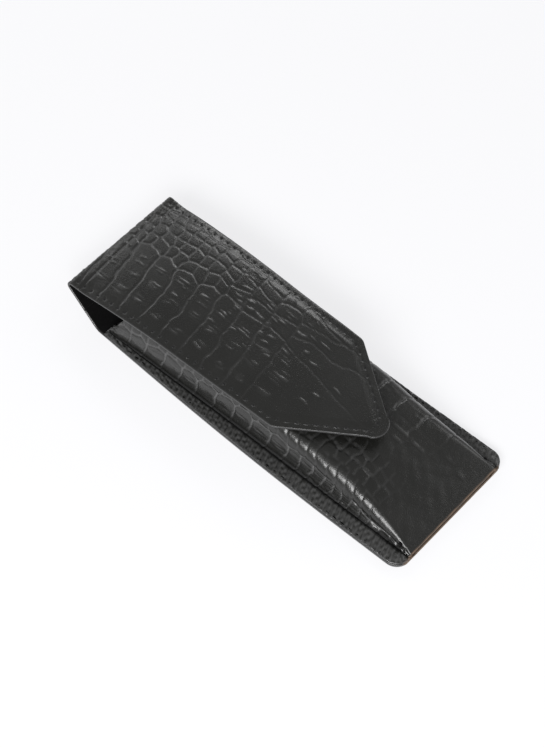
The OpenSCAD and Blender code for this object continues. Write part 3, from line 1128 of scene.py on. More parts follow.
@dataclass(frozen=True)
class Stitching:
    """Rows of thread stitches that dip into their holes at both ends."""

    thread_d: float = 0.46
    length: float = 2.7
    dip: float = 0.4
    yaw: float = 5.0
    uv_span: float = 4.0
    seed: int = 5

    def sew(self, name: str, stitches: Sequence[Stitch], finish: Finish) -> bpy.types.Object:
        """Makes one piece of many stitches.

        Args:
            name: The piece's name.
            stitches: Each stitch's middle, its direction and the leather's outward direction.
            finish: The thread's finish.

        Returns:
            The piece.
        """
        work = bmesh.new()
        layer = work.loops.layers.uv.new("leather")
        random = np.random.default_rng(self.seed)
        for middle, along, out in stitches:
            made = bmesh.ops.create_uvsphere(work, u_segments=7, v_segments=6, radius=self.thread_d / 2)
            self.stretch(made["verts"], layer)
            columns = (np.cross(out, along), out, along, middle)
            stand = Matrix([[column[i] for column in columns] for i in range(3)] + [[0, 0, 0, 1]])
            turn = Matrix.Rotation(math.radians(random.uniform(-self.yaw, self.yaw)), 4, "Y")
            bmesh.ops.transform(work, matrix=Matrix.Scale(MM, 4) @ stand @ turn, verts=made["verts"])
        mesh = bpy.data.meshes.new(name)
        work.to_mesh(mesh)
        work.free()
        return new_piece(name, mesh, finish)

    def stretch(self, vertices: Sequence[bmesh.types.BMVert], layer: object) -> None:
        """Draws a ball out into one stitch along Z and maps it."""
        half = (self.length - self.thread_d) / 2
        for vertex in vertices:
            at = vertex.co
            at.z += math.copysign(half, at.z) if abs(at.z) > 1e-4 else 0.0
            at.y -= self.dip * (abs(at.z) / (self.length / 2)) ** 4
        for face in {face for vertex in vertices for face in vertex.link_faces}:
            for loop in face.loops:
                around = math.atan2(loop.vert.co.y, loop.vert.co.x) * self.thread_d / 2
                loop[layer].uv = (around / self.uv_span, loop.vert.co.z / self.uv_span)


def paced(points: Array, pitch: float, margin: float) -> tuple[Array, Array]:
    """Steps along a line at an even pitch.

    Args:
        points: The line's points.
        pitch: Wanted step.
        margin: Distance of the first and last step from the line's ends.

    Returns:
        The places, and the line's direction at each.
    """
    length = run_along(points)
    count = max(2, int(round((length[-1] - 2 * margin) / pitch)) + 1)
    steps = np.linspace(margin, length[-1] - margin, count)
    back, place, ahead = (
        np.stack([np.interp(steps + shift, length, axis) for axis in points.T], 1)
        for shift in (-0.2, 0.0, 0.2))
    return place, unit(ahead - back)


# ---------------------------------------------------------------- back, spine and flap


@dataclass
class Cover:
    """The long blank: back, spine and flap, with its lining, its board and its stitching."""

    form: CaseForm
    finishes: Finishes
    bend_reach: float = 6.5
    fold_reach: float = 3.6
    fold_heading: float = math.radians(101.0)
    back_cell: float = 0.62
    flap_cell: float = 0.43
    lining_cell: float = 1.1
    board_cell: float = 1.3
    lining_inset: float = 0.55
    droop: float = 1.5
    droop_x: float = 26.0
    droop_power: float = 2.6
    pinch: float = 0.3
    # Share of the groove wear and painted highlight that the cover's colour gets.
    wear_and_light_share: float = 0.5
    thread_sink: float = 0.28
    thread_margin: float = 1.4
    spine_sewn: float = 7.5
    hole_r: float = 0.46
    hole_depth: float = 0.3
    hole_dark: float = 2.4
    crease_depth: float = 0.2
    filler_gap: float = 0.03
    lip: float = 0.25

    def __post_init__(self) -> None:
        """Traces the blank and lays out its scales."""
        self.path = CoverPath(self.form)
        self.outline = FlapOutline(self.form)
        self.scales = BlankScales()
        self.corner_run = float(self.path.run_of_flap(np.array(self.outline.corner[1])))
        self.tip_run = float(self.path.run_of_flap(np.array(self.form.tip_y)))

    def half_width(self, run: Array) -> Array:
        """Half width of the blank at each distance along it."""
        y, _ = self.path.at(run)
        bend_run = self.form.bend_y - self.form.foot_y
        share = np.clip((run - bend_run) / (self.path.fold_run - bend_run), 0.0, 1.0)
        back = self.form.edge_x(np.minimum(y, self.form.bend_y))
        spine = back + (self.form.fold_x - back) * share
        flap = self.outline.side_x(np.minimum(y, self.form.fold_y))
        return np.where(run > self.path.fold_run, flap, spine)

    def edge_gap(self, x: Array, run: Array, on_flap: Array) -> Array:
        """Distance from the nearest edge, by the flap's outline where on_flap holds."""
        y, _ = self.path.at(run)
        flap = self.outline.gap(x, np.minimum(y, self.form.fold_y))
        return np.where(on_flap, flap, self.half_width(run) - np.abs(x))

    def sag(self, x: Array, run: Array) -> Array:
        """How far the flap's edges droop and its stitched margin is pressed down."""
        form = self.form
        y, _ = self.path.at(run)
        on_flap = smooth(self.path.fold_run - 1.0, self.path.fold_run + 9.0, run)
        strength = 0.25 + 0.75 * smooth(form.shoulder_y + 4, form.crest_y + 14, y)
        droop = self.droop * strength * (np.abs(x) / self.droop_x) ** self.droop_power
        pinch = self.pinch * (1 - smooth(3.4, 5.6, self.edge_gap(x, run, np.array(True))))
        return -on_flap * (droop + pinch - Ripple(42.0, 0.09, 21).at(x, run))

    def face(self, x: Array, run: Array) -> Array:
        """The outer face's place, without its relief."""
        y, z = self.path.at(run)
        shift = np.where(run < self.path.seam_run, self.form.sway(x, y), 0.0)
        return np.stack([x + shift, y, z + self.sag(x, run)], -1)

    def stitch_line(self, side: Side) -> Array:
        """The line of the flap's stitching on one side, from the spine to the tip, as (x, run)."""
        inset, outline, path = self.form.stitch_inset, self.outline, self.path
        runs = np.linspace(path.seam_run - self.spine_sewn, path.fold_run, 60)
        upper = np.stack([self.half_width(runs) - inset, runs], 1)
        y = np.linspace(self.form.fold_y - 1.0, outline.corner[1] + 3.2, 80)
        beside = np.stack([outline.side_x(y) - inset, path.run_of_flap(y)], 1)
        inward = np.array([outline.slant[1], -outline.slant[0]]) * inset
        x = np.linspace(outline.corner[0] - 3.0, 1.2, 60)
        slanted = outline.end_y(np.maximum(x, outline.tip_reach)) + inward[1]
        lower = np.stack([x + inward[0], path.run_of_flap(slanted)], 1)
        line = np.concatenate([upper, beside, lower[lower[:, 0] > 0.9]])
        return line * np.array([side.value, 1.0])

    def stitch_places(self, side: Side) -> tuple[Array, Array]:
        """Each stitch's middle and direction on one side, as (x, run)."""
        return paced(self.stitch_line(side), self.form.stitch_pitch, self.thread_margin)

    def stitches(self, side: Side) -> list[Stitch]:
        """Each stitch's middle, direction and outward direction, on one side."""
        step = 0.25
        found = []
        for (x, run), ahead in zip(*self.stitch_places(side)):
            here = self.face(np.array([x, x + step, x]), np.array([run, run, run + step]))
            cross_way, long_way = unit(here[1] - here[0]), unit(here[2] - here[0])
            along = unit(cross_way * ahead[0] + long_way * ahead[1])
            out = unit(np.cross(long_way, cross_way))
            found.append((here[0] - out * self.thread_sink, along, out))
        return found

    def prick(self, relief: Relief, x: Array, run: Array) -> None:
        """Presses the needle holes between the stitches into a relief and paints shade into them."""
        for side in Side:
            places, ways = self.stitch_places(side)
            for hole in places + ways * self.form.stitch_pitch / 2:
                near = np.exp(-((x - hole[0]) ** 2 + (run - hole[1]) ** 2) / self.hole_r**2)
                relief.height -= self.hole_depth * near
                # The holes are painted dark as shade.
                relief.groove += self.hole_dark * near

    def relief(self, x: Array, run: Array) -> Relief:
        """The embossing with its stitched margin, the crease beside the fold and the needle holes."""
        fold_run = self.path.fold_run
        relief = self.scales.press(x, run - fold_run)
        gap = self.edge_gap(x, run, run > fold_run + 1.0)
        flat = smooth(2.6, 4.6, gap)
        relief.height *= 0.25 + 0.75 * flat
        relief.groove *= 0.2 + 0.8 * flat
        sewn = run > self.path.seam_run - 9.0
        relief.height -= 0.04 * sewn * bump(gap, self.form.stitch_inset, 0.5)
        crease = bump(run - fold_run + 0.05 * x, 4.0, 0.5) * (1 - 0.6 * smooth(4.0, 14.0, x))
        relief.height -= self.crease_depth * crease
        self.prick(relief, x, run)
        relief.height += Ripple(3.1, 0.05, 31).at(x, run) * bump(run, fold_run - 1.0, 5.0)
        return relief

    def back_grid(self, plate: Plate, inset: float) -> tuple[Array, Array]:
        """Places a plate's grid on the blank from the foot to halfway up the spine, as x and run."""
        column, row = plate.grid
        run = spread(row, plate.rows, inset, self.path.seam_run)
        half = self.half_width(run) - inset
        return spread(column, plate.columns, half, -half), run

    def flap_grid(self, plate: Plate, inset: float, start: float = 0.0) -> tuple[Array, Array]:
        """Places a plate's grid on the blank from a start, or halfway up the spine, to the flap's tip.

        Args:
            plate: The plate.
            inset: Its distance from the blank's edges.
            start: Where it starts along the blank; 0 for halfway up the spine.

        Returns:
            The places x and run.
        """
        start = start or self.path.seam_run
        column, row = plate.grid
        side_run = spread(row, plate.rows, start, self.corner_run - 0.5 * inset)
        half = self.half_width(side_run) - inset
        x = spread(column, plate.columns, half, -half)
        across = np.clip(x / half, -1.0, 1.0) * self.outline.corner[0]
        end = self.path.run_of_flap(self.outline.end_y(across)) - inset * 1.15
        return x, spread(row, plate.rows, start, end)

    def plate(self, name: str, width: float, length: float, cell: float) -> Plate:
        """A plate with cells of about this size."""
        return Plate(name, 2 * int(width / cell / 2) + 6, int(length / cell) + 6)

    def build_back(self) -> bpy.types.Object:
        """The back and the lower half of the spine, with a filler under its edges."""
        form, seam_run = self.form, self.path.seam_run
        plate = self.plate("back_and_spine_leather", 2 * form.back_x, seam_run, self.back_cell)
        x, run = self.back_grid(plate, 0.0)
        y, _ = self.path.at(run)
        relief = self.relief(x, run)
        gap = self.half_width(run) - np.abs(x)
        filler = (1 - smooth(3.0, 5.0, gap)) * (1 - smooth(58.0, 64.0, y))
        filler = filler * (form.board_t - self.filler_gap)
        pressed = np.where(y < form.bend_y, np.minimum(relief.height, 0.0), relief.height)
        plate.shape(self.face(x, run), pressed, form.leather_t + filler, 0.4)
        plate.dress(relief, self.wear_and_light_share * relief.wear_and_painted_light, 0.8 * plate.foot_rim(), x, run)
        return self.bend_with_case(plate.piece(self.finishes.leather), "back_leather")

    def build_flap(self) -> bpy.types.Object:
        """The upper half of the spine, the fold and the flap."""
        form, seam_run = self.form, self.path.seam_run
        wide, long = 2 * form.fold_x, self.tip_run - seam_run
        plate = self.plate("flap_and_spine_leather", wide, long, self.flap_cell)
        x, run = self.flap_grid(plate, 0.0)
        relief = self.relief(x, run)
        lip = self.lip * (1 - smooth(0.3, 0.8, plate.rim())) * smooth(0.0, 4.0, run - seam_run)
        plate.shape(self.face(x, run), relief.height, form.leather_t + lip, 0.42)
        plate.dress(relief, self.wear_and_light_share * relief.wear_and_painted_light, np.zeros_like(x), x, run)
        return self.bend_with_flap(plate.piece(self.finishes.leather), "spine_leather", "flap_leather")

    def lining_depth(self, x: Array, run: Array) -> Array:
        """How deep the lining lies below the outer face: a board deeper where there is one."""
        form = self.form
        y, _ = self.path.at(run)
        on_flap = run > self.path.fold_run
        inside = np.where(on_flap, smooth(3.8, 5.6, self.edge_gap(x, run, on_flap)), 1.0)
        on_back = smooth(form.bend_y, form.bend_y - 6, y) * (run < self.path.seam_run)
        boarded = np.where(on_flap, smooth(form.fold_y - 12, form.fold_y - 22, y), on_back)
        return form.leather_t + form.glue_t + form.board_t * inside * boarded

    def lay_lining(self, plate: Plate, x: Array, run: Array) -> bpy.types.Object:
        """Lays a length of lining under the leather."""
        face = sunk(self.face(x, run), self.lining_depth(x, run))
        plate.shape(face, 0.0, self.form.lining_t, 0.18)
        plate.map_leather(x, run)
        return plate.piece(self.finishes.lining)

    def build_lining(self) -> list[bpy.types.Object]:
        """The lining in two lengths, which meet half way up the spine."""
        width = 2 * self.form.fold_x
        back = self.plate("back_and_spine_lining", width, self.path.seam_run, self.lining_cell)
        flap = self.plate("flap_and_spine_lining", width, 150.0, self.lining_cell)
        lower = self.lay_lining(back, *self.back_grid(back, self.lining_inset))
        lower = self.bend_with_case(lower, "back_lining")
        upper = self.lay_lining(flap, *self.flap_grid(flap, self.lining_inset))
        return [lower, self.bend_with_flap(upper, "spine_lining", "flap_lining")]

    def build_board(self) -> bpy.types.Object:
        """The flap's board, bent to the drooping flap."""
        form = self.form
        _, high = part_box("flap_board")
        start = float(self.path.run_of_flap(np.array(high.y / MM)))
        plate = self.plate("flap_panel_board", 2 * form.fold_x, self.tip_run - start, self.board_cell)
        x, run = self.flap_grid(plate, form.board_margin + 1.5, start)
        face = sunk(self.face(x, run), form.leather_t + form.glue_t)
        plate.shape(face, 0.0, form.board_t - form.glue_t, 0.15)
        plate.map_leather(x, run)
        piece = plate.piece(self.finishes.board)
        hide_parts("flap_board")
        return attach(piece, Body.FLAP.value)

    def build_thread(self) -> list[bpy.types.Object]:
        """The stitching round the flap and down the spine."""
        stitches = self.stitches(Side.LEFT) + self.stitches(Side.RIGHT)
        above = [one for one in stitches if not self.on_low_spine(one[0])]
        below = [one for one in stitches if self.on_low_spine(one[0])]
        upper = Stitching().sew("flap_stitches", above, self.finishes.thread)
        lower = Stitching().sew("spine_stitches", below, self.finishes.thread)
        return [self.bend_with_flap(upper, "flap_thread"), self.bend_with_case(lower, "spine_thread")]

    def on_low_spine(self, place: Array) -> bool:
        """True below the line where the two lengths of the blank meet."""
        _, seam_z = self.path.at(np.array(self.path.seam_run))
        return bool(place[2] < seam_z and place[1] < self.form.fold_y)

    def bend_with_case(self, piece: bpy.types.Object, *nodes: str) -> bpy.types.Object:
        """Puts a piece in place of nodes, its transform baked into its mesh."""
        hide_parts(*nodes)
        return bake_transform(piece)

    def bend_with_flap(self, piece: bpy.types.Object, *nodes: str) -> bpy.types.Object:
        """Puts a piece in place of nodes, its transform baked into its mesh."""
        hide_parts(*nodes)
        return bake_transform(piece)


# ---------------------------------------------------------------- pocket


@dataclass(frozen=True)
class Section:
    """How many cells each stretch of the pocket's cross-section gets, from its edge inwards."""

    flange: int = 8
    groove: int = 4
    wall: int = 26
    ridge: int = 10
    front: int = 28

    @property
    def wall_foot(self) -> int:
        """The line where the wall starts."""
        return self.flange + self.groove

    @property
    def wall_top(self) -> int:
        """The line where the ridge starts."""
        return self.wall_foot + self.wall

    @property
    def front_edge(self) -> int:
        """The line where the front starts."""
        return self.wall_top + self.ridge

    @property
    def half(self) -> int:
        """The middle line."""
        return self.front_edge + self.front


@dataclass
class PocketGrid:
    """Where a plate's grid points lie on the outside of the pocket.

    A point's step is its number of lines from the plate's edge, up is its share of the way up the
    gusset, and from_foot is its distance from the foot edge.
    """

    form: CaseForm
    section: Section
    plate: Plate
    start: float = 0.0
    flange: float = 20.0
    crown: float = 0.8
    ridge_r: float = 3.8
    ridge_r_more: float = 2.6
    flange_sink: float = 0.45
    tuck: float = 2.3
    belly: float = 0.5
    draw: float = 1.2
    right_out: float = 1.2
    foot_out_share: float = 0.6
    groove_w: float = 0.55
    slant_ease: float = 0.2

    def __post_init__(self) -> None:
        """Finds the face and its outward directions."""
        form, section = self.form, self.section
        column, row = self.plate.grid
        self.side = np.where(column < section.half, -1.0, 1.0)
        self.step = np.minimum(column, 2 * section.half - column).astype(float)
        self.up = self.share(section.wall_foot, section.wall)
        ease = self.slant_ease
        slant = ease * smooth(0.0, 1.0, self.up) + (1 - ease) * self.up
        end = form.mouth_foot_y - form.mouth_slant * slant
        self.y = spread(row, self.plate.rows, form.foot_y + self.start, end)
        self.from_foot = self.y - form.foot_y
        self.top = form.front_top(self.y)
        self.dip = self.crown * smooth(4.0, 40.0, self.from_foot)
        self.edge_z = self.top - self.dip
        self.flange_z = form.stack_t + form.leather_t
        self.set_gusset()
        zones = [self.step <= last for last in (
            section.flange, section.wall_foot, section.wall_top, section.front_edge)]
        stretches = (self.flange_face(), self.groove_face(), self.wall_face(), self.ridge_face())
        front = self.front_face()
        x, z = (np.select(zones, [stretch[i] for stretch in stretches], front[i]) for i in (0, 1))
        x, z = self.softened(x, z)
        creep = form.sway(x * self.side, self.y)
        creep = creep * (1 - smooth(section.flange - 2.0, section.wall_foot + 6.0, self.step))
        self.face = np.stack([x * self.side + creep, self.y, z], -1)
        self.normal = outward(self.face)

    def share(self, first: int, count: int) -> Array:
        """Each point's share of the way through a stretch of the section."""
        return np.clip((self.step - first) / count, 0.0, 1.0)

    def set_gusset(self) -> None:
        """Works out the gusset's lean and the ridge's radius at each point along it."""
        form, from_foot = self.form, self.from_foot
        share = np.clip(from_foot / (form.mouth_foot_y - form.foot_y), 0.0, 1.0)
        height = self.edge_z - form.stack_t
        out = np.where(self.side > 0, self.right_out, 0.0) * smooth(75.0, 45.0, from_foot)
        foot_x = form.wall_x(self.y)
        self.corner_x = foot_x - height * math.tan(math.radians(form.gusset_lean)) + out
        self.wall_x = foot_x - self.draw * np.sin(math.pi * share) + self.foot_out_share * out
        self.lean = np.arctan2(self.wall_x - self.corner_x, height)
        radius = self.ridge_r + self.ridge_r_more * bump(from_foot, 32.0, 26.0)
        room = np.maximum(self.edge_z - self.flange_z, 0.2)
        self.radius = np.minimum(radius, 0.6 * room + 0.2)
        self.reach = self.radius * np.tan((math.pi / 2 - self.lean) / 2)
        self.groove_x = self.wall_x + self.groove_w

    def flange_face(self) -> tuple[Array, Array]:
        """The flange, with close lines at its edge."""
        last = len(RIM_GAPS) - 1
        edge = np.minimum(self.form.edge_x(self.y), self.groove_x + self.flange)
        near = RIM_GAPS[np.minimum(self.step.astype(int), last)]
        even = self.share(last, self.section.flange - last)
        return edge - near - (edge - RIM_GAPS[last] - self.groove_x) * even, self.flange_z + 0 * self.y

    def groove_face(self) -> tuple[Array, Array]:
        """The pressed groove beside the wall."""
        share = self.share(self.section.flange, self.section.groove)
        x = self.groove_x + (self.wall_x + 0.1 - self.groove_x) * share
        return x, self.flange_z - self.flange_sink * np.sin(math.pi * np.clip(share, 0, 0.8)) ** 1.2

    def wall_face(self) -> tuple[Array, Array]:
        """The gusset."""
        foot_x, foot_z = self.wall_x + 0.1, self.flange_z - 0.25 * self.flange_sink
        top_x = self.corner_x + self.reach * np.sin(self.lean)
        top_z = self.edge_z - self.reach * np.cos(self.lean)
        return foot_x + (top_x - foot_x) * self.up, foot_z + (top_z - foot_z) * self.up

    def ridge_face(self) -> tuple[Array, Array]:
        """The soft ridge between gusset and front."""
        share = self.share(self.section.wall_top, self.section.ridge)
        turn = self.lean + (math.pi / 2 - self.lean) * share
        x = self.corner_x - self.reach + self.radius * np.cos(turn)
        return x, self.edge_z - self.radius + self.radius * np.sin(turn)

    def front_face(self) -> tuple[Array, Array]:
        """The crowned front."""
        outer = 1 - self.share(self.section.front_edge, self.section.front)
        return (self.corner_x - self.reach) * outer, self.top - self.dip * outer**2

    def softened(self, x: Array, z: Array) -> tuple[Array, Array]:
        """Tucks, bellies and crumples the gusset as worn leather does.

        Args:
            x: Distance from the middle, before.
            z: Height, before.

        Returns:
            Both, after.
        """
        section, step, from_foot = self.section, self.step, self.from_foot
        from_mouth = self.form.mouth_foot_y - self.form.foot_y - from_foot
        above_foot = step > section.wall_foot
        on_wall = above_foot & (step < section.wall_top)
        arch = np.sin(math.pi * self.up)
        risen = np.clip((self.edge_z - self.flange_z) / 5.0, 0.0, 1.0)
        pull = self.tuck * bump(from_foot, 8.0, 9.0) * risen
        x = x - pull * (above_foot & (step < section.wall_top + 2)) * np.clip(arch, 0.0, 1.0) ** 0.8
        x = x + self.belly * smooth(30.0, 70.0, from_foot) * arch * on_wall
        pucker = smooth(8.0, 1.5, from_mouth) * smooth(1.0, 0.55, self.up) * on_wall
        x = x + pucker * arch * Ripple(3.6, 0.5, 52).at(step * 0.6, from_foot)
        crumple = bump(from_foot, 2.0, 5.5) * ((step > section.flange - 4) & (step < section.wall_top))
        return x, z + crumple * Ripple(4.0, 0.42, 51).at(step * 0.6, from_foot)

    def across(self, ridge: float) -> Array:
        """Distance across the leather, over the ridges.

        Args:
            ridge: The value that each ridge's inner side gets.

        Returns:
            The distance of each point from the middle line.
        """
        gaps = np.linalg.norm(np.diff(self.face[..., [0, 2]], axis=0), axis=-1)
        length = np.concatenate([np.zeros((1, gaps.shape[1])), np.cumsum(gaps, axis=0)])
        length = length - length[self.section.half]
        inner = length[self.section.half + self.section.front]
        beyond = np.sign(length) * (ridge + np.abs(length) - inner)
        return np.where(np.abs(length) <= inner, length / inner * ridge, beyond)

    def at(self, column: float, row: int) -> Array:
        """The place between two columns of a row."""
        low = min(int(column), len(self.face) - 2)
        share = column - low
        return self.face[low, row] * (1 - share) + self.face[low + 1, row] * share

    def column_at(self, row: int, x: float) -> float:
        """The column that lies at x on a row."""
        line = self.face[:, row, 0]
        return float(np.interp(x, line, np.arange(len(line))))


@dataclass
class Pocket:
    """The front with its gussets and flanges, its lining, its board, the tongue and the seams."""

    form: CaseForm
    finishes: Finishes
    rows: int = 310
    lining_section: Section = Section(flange=4, groove=2, wall=14, ridge=5, front=12)
    lining_rows: int = 110
    lining_start: float = 4.6
    lining_flange: float = 0.9
    creases: tuple[tuple[float, float], ...] = ((0.86, 0.22), (0.7, 0.14), (0.3, 0.16))
    foot_seam: float = 2.2
    side_sink: float = 0.16
    cross_sink: float = 0.19
    tongue_t: float = 1.0
    tongue_bend_r: float = 1.5
    tongue_gap: float = 0.6

    def __post_init__(self) -> None:
        """Lays out the scales and the front's grid."""
        self.section = Section()
        self.scales = PocketScales(self.form)
        self.leather = Plate("front_and_gusset_leather", 2 * self.section.half, self.rows)
        self.front = PocketGrid(self.form, self.section, self.leather)

    @property
    def row_mm(self) -> float:
        """Length of one row of the front's grid."""
        return (self.form.mouth_y - self.form.foot_y) / self.rows

    def relief(self, across: Array, along: Array, sewn: Array, in_groove: Array) -> Relief:
        """The front's embossing, its long creases and its unevenness.

        Args:
            across: Distance across the leather.
            along: Distance from the foot edge.
            sewn: 1 on the flanges, 0 elsewhere.
            in_groove: True in the groove beside the walls.

        Returns:
            The relief.
        """
        relief = self.scales.press(across, along)
        relief.height *= 1 - 0.75 * sewn
        relief.groove *= 1 - 0.5 * sewn
        # The groove beside each gusset is painted near black as shadow.
        relief.groove = np.maximum(relief.groove, in_groove * 0.8)
        relief.height += Ripple(1.9, 0.05, 53).at(across, along) * (0.25 + sewn)
        length = smooth(14.0, 26.0, along) * (1 - smooth(66.0, 84.0, along))
        for place, depth in self.creases:
            drift = place + 0.03 * np.sin(along / 7.0 + place * 9)
            relief.height -= depth * bump(self.front.up, drift, 0.022) * length
        mouth_gap = (self.rows - self.leather.grid[1]) * self.row_mm
        sewn_mouth = bump(mouth_gap, self.form.stitch_inset, 0.5) * (self.front.up > 0.95)
        relief.height -= 0.12 * sewn_mouth
        relief.height += Ripple(23.0, 0.12, 55).at(across, along) * smooth(3.0, 12.0, along)
        uneven = Ripple(5.5, 0.035, 59).at(across, along) * smooth(1.0, 5.0, along)
        relief.height += uneven * smooth(20.0, 10.0, across)
        return relief

    def build_front(self) -> bpy.types.Object:
        """The front, its gussets and its flanges, one piece of leather."""
        section, step, up = self.section, self.front.step, self.front.up
        across, along = self.front.across(self.scales.ridge), self.front.from_foot
        sewn = (step < section.flange + 1).astype(float)
        in_groove = (step >= section.flange) & (step <= section.wall_foot + 1)
        relief = self.relief(across, along, sewn, in_groove)
        thick = np.where(in_groove, 0.5, self.form.leather_t)
        thick = np.where(along < 6.0, np.minimum(thick, 0.75), thick)
        self.leather.shape(self.front.face, relief.height, thick, 0.36)
        on_wall = smooth(section.flange + 6.0, section.flange + 10.0, step) * (1 - smooth(0.9, 1.0, up))
        # The gussets' grooves get more painted highlight than the front's.
        wear_and_painted_light = relief.wear_and_painted_light * (0.45 + 1.15 * on_wall) * (step > section.flange + 5)
        # The flanges are painted lighter in specks, partly grain and partly painted light against the shade
        # the case casts on them; the gussets are painted lighter towards their foot as painted light.
        speck = np.clip(0.3 + Ripple(1.5, 0.3, 58).at(across, along), 0.0, 0.8)
        wear_and_painted_light = wear_and_painted_light + np.where(step < section.flange, speck, 0.16 * on_wall * (1 - up))
        raw = self.leather.foot_rim() * (0.75 + Ripple(6.0, 0.3, 57).at(across, along))
        self.leather.dress(relief, wear_and_painted_light, raw, across, along)
        return on_case(self.leather.piece(self.finishes.leather), "front_leather")

    def build_lining(self) -> bpy.types.Object:
        """The pocket's lining, which lies a board deeper on the front than on the gussets."""
        form, section = self.form, self.lining_section
        plate = Plate("pocket_lining", 2 * section.half, self.lining_rows)
        grid = PocketGrid(form, section, plate, self.lining_start, self.lining_flange)
        board = form.board_t * grid.up**6 * smooth(3.5, 6.0, form.mouth_y - grid.y)
        plate.shape(sunk(grid.face, form.leather_t + form.glue_t + board), 0.0, form.lining_t, 0.15)
        plate.map_leather(grid.face[..., 0] - grid.face[..., 2] * grid.side, grid.y)
        return on_case(plate.piece(self.finishes.lining), "front_lining")

    def build_board(self) -> bpy.types.Object:
        """The front's board, bent to the crowned front."""
        form = self.form
        low, high = (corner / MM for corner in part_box("front_board"))
        plate = Plate("front_panel_board", 32, 120)
        column, row = plate.grid
        x = spread(column, plate.columns, low.x, high.x)
        y = spread(row, plate.rows, low.y, high.y)
        crown = self.front.crown * smooth(4.0, 40.0, y - form.foot_y)
        z = form.front_top(y) - form.leather_t - form.glue_t - crown * (x / (form.wall_x(y) - 7.0)) ** 2
        plate.shape(np.stack([x, y, z], -1), 0.0, form.board_t - form.glue_t, 0.15)
        plate.map_leather(x, y)
        return on_case(plate.piece(self.finishes.board), "front_board")

    def build_tongue(self) -> bpy.types.Object:
        """The tongue between the two pens: a foot that is sewn down and a blade that stands up."""
        form, bend_r = self.form, self.tongue_bend_r
        low, high = (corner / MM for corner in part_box("pen_divider"))
        plate = Plate("pen_tongue", 30, 150)
        column, row = plate.grid
        y = spread(row, plate.rows, low.y, high.y)
        foot_z = form.stack_t + self.tongue_t
        foot_w = high.x - bend_r - 0.7
        bend_w = bend_r * math.pi / 2
        tall = form.front_top(y) - form.stack_t - self.tongue_gap - foot_z - bend_r
        path = spread(column, plate.columns, foot_w + bend_w + tall, np.zeros_like(y))
        turn = (path - foot_w) / bend_r
        zones = [path < foot_w, path < foot_w + bend_w]
        x = np.select(zones, [high.x - path, 0.5 + bend_r - bend_r * np.sin(turn)], 0.5)
        z = np.select(zones, [foot_z + 0 * y, foot_z + bend_r - bend_r * np.cos(turn)],
                      foot_z + bend_r + path - foot_w - bend_w)
        lean = Ripple(60.0, 0.12, 61).at(z * 3, y) * smooth(5.0, 14.0, z)
        face = np.stack([x + lean, y, z], -1)
        plate.shape(face, Ripple(7.0, 0.02, 63).at(path, y), self.tongue_t, 0.4)
        plate.map_leather(path, y)
        return on_case(plate.piece(self.finishes.plain), "pen_divider")

    def seam(self, name: str, node: str, stitches: Sequence[Stitch]) -> bpy.types.Object:
        """Sews one of the pocket's seams in place of a node."""
        return on_case(Stitching().sew(name, stitches, self.finishes.thread), node)

    def side_seam(self, side: Side) -> bpy.types.Object:
        """The seam along one flange."""
        form, face = self.form, self.front.face
        points = []
        for row in range(10, self.rows - 3):
            x = side.value * (float(form.edge_x(face[0, row, 1])) - 1.15)
            x += float(form.sway(np.array(x), face[0, row, 1]))
            points.append(self.front.at(self.front.column_at(row, x), row))
        places, ways = paced(np.array(points), form.stitch_pitch, 1.6)
        stitches = [(place, way, unit(UP - way * way[2]))
                    for place, way in zip(places - UP * self.side_sink, ways)]
        name = side.name.lower()
        return self.seam(f"{name}_seam_stitches", f"{name}_seam_thread", stitches)

    def cross_seam(self, name: str, node: str, row: int, margin: float) -> bpy.types.Object:
        """A seam across the front."""
        middle, reach = self.section.half, self.section.front
        columns = np.linspace(middle - reach, middle + reach, 120)
        points = np.array([self.front.at(column, row) for column in columns])
        stitches = []
        for place, way in zip(*paced(points, self.form.stitch_pitch, margin)):
            normal = self.front.normal[int(self.front.column_at(row, place[0])), row]
            out = unit(normal - way * float(normal @ way))
            stitches.append((place - out * self.cross_sink, way, out))
        return self.seam(name, node, stitches)

    def tongue_seam(self) -> bpy.types.Object:
        """The seam that holds the tongue's foot."""
        low, high = (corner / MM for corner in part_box("divider_thread"))
        x, z = (low.x + high.x) / 2, self.form.stack_t + self.tongue_t
        line = np.array([[x, low.y - 1.0, z], [x, high.y + 1.0, z]])
        places, ways = paced(line, self.form.stitch_pitch, 1.4)
        stitches = [(place, way, UP) for place, way in zip(places, ways)]
        return self.seam("tongue_stitches", "divider_thread", stitches)

    def build_seams(self) -> list[bpy.types.Object]:
        """All the pocket's seams."""
        foot_row = int(self.foot_seam / self.row_mm) + 2
        mouth_row = self.rows - int(self.form.stitch_inset / self.row_mm)
        return [
            self.side_seam(Side.LEFT),
            self.side_seam(Side.RIGHT),
            self.cross_seam("foot_stitches", "foot_seam_thread", foot_row, 2.5),
            self.cross_seam("mouth_stitches", "mouth_thread", mouth_row, 1.5),
            self.tongue_seam()]


@dataclass
class Stiffening:
    """The boards and the closure magnets that stay as the frame has them."""

    finishes: Finishes

    def dress(self) -> list[bpy.types.Object]:
        """Gives each board and magnet its finish."""
        finishes = {"board": self.finishes.board, "magnet": self.finishes.magnet}
        dressed = []
        for name, node in frame["nodes"].items():
            finish = finishes.get(name.split("_")[-1])
            if finish is not None:
                node.data.materials.clear()
                node.data.materials.append(finish.material)
                dressed.append(node)
        return dressed


# ---------------------------------------------------------------- studio


def direction(azimuth: float, elevation: float) -> Vector:
    """The unit vector at an azimuth from +X towards +Y and an elevation, both in degrees."""
    a, e = math.radians(azimuth), math.radians(elevation)
    return Vector((math.cos(a) * math.cos(e), math.sin(a) * math.cos(e), math.sin(e)))


def look(item: bpy.types.Object, back: Vector) -> None:
    """Links a lamp or camera and turns its back to a direction."""
    bpy.context.scene.collection.objects.link(item)
    item.rotation_euler = (-back).to_track_quat("-Z", "Y").to_euler()


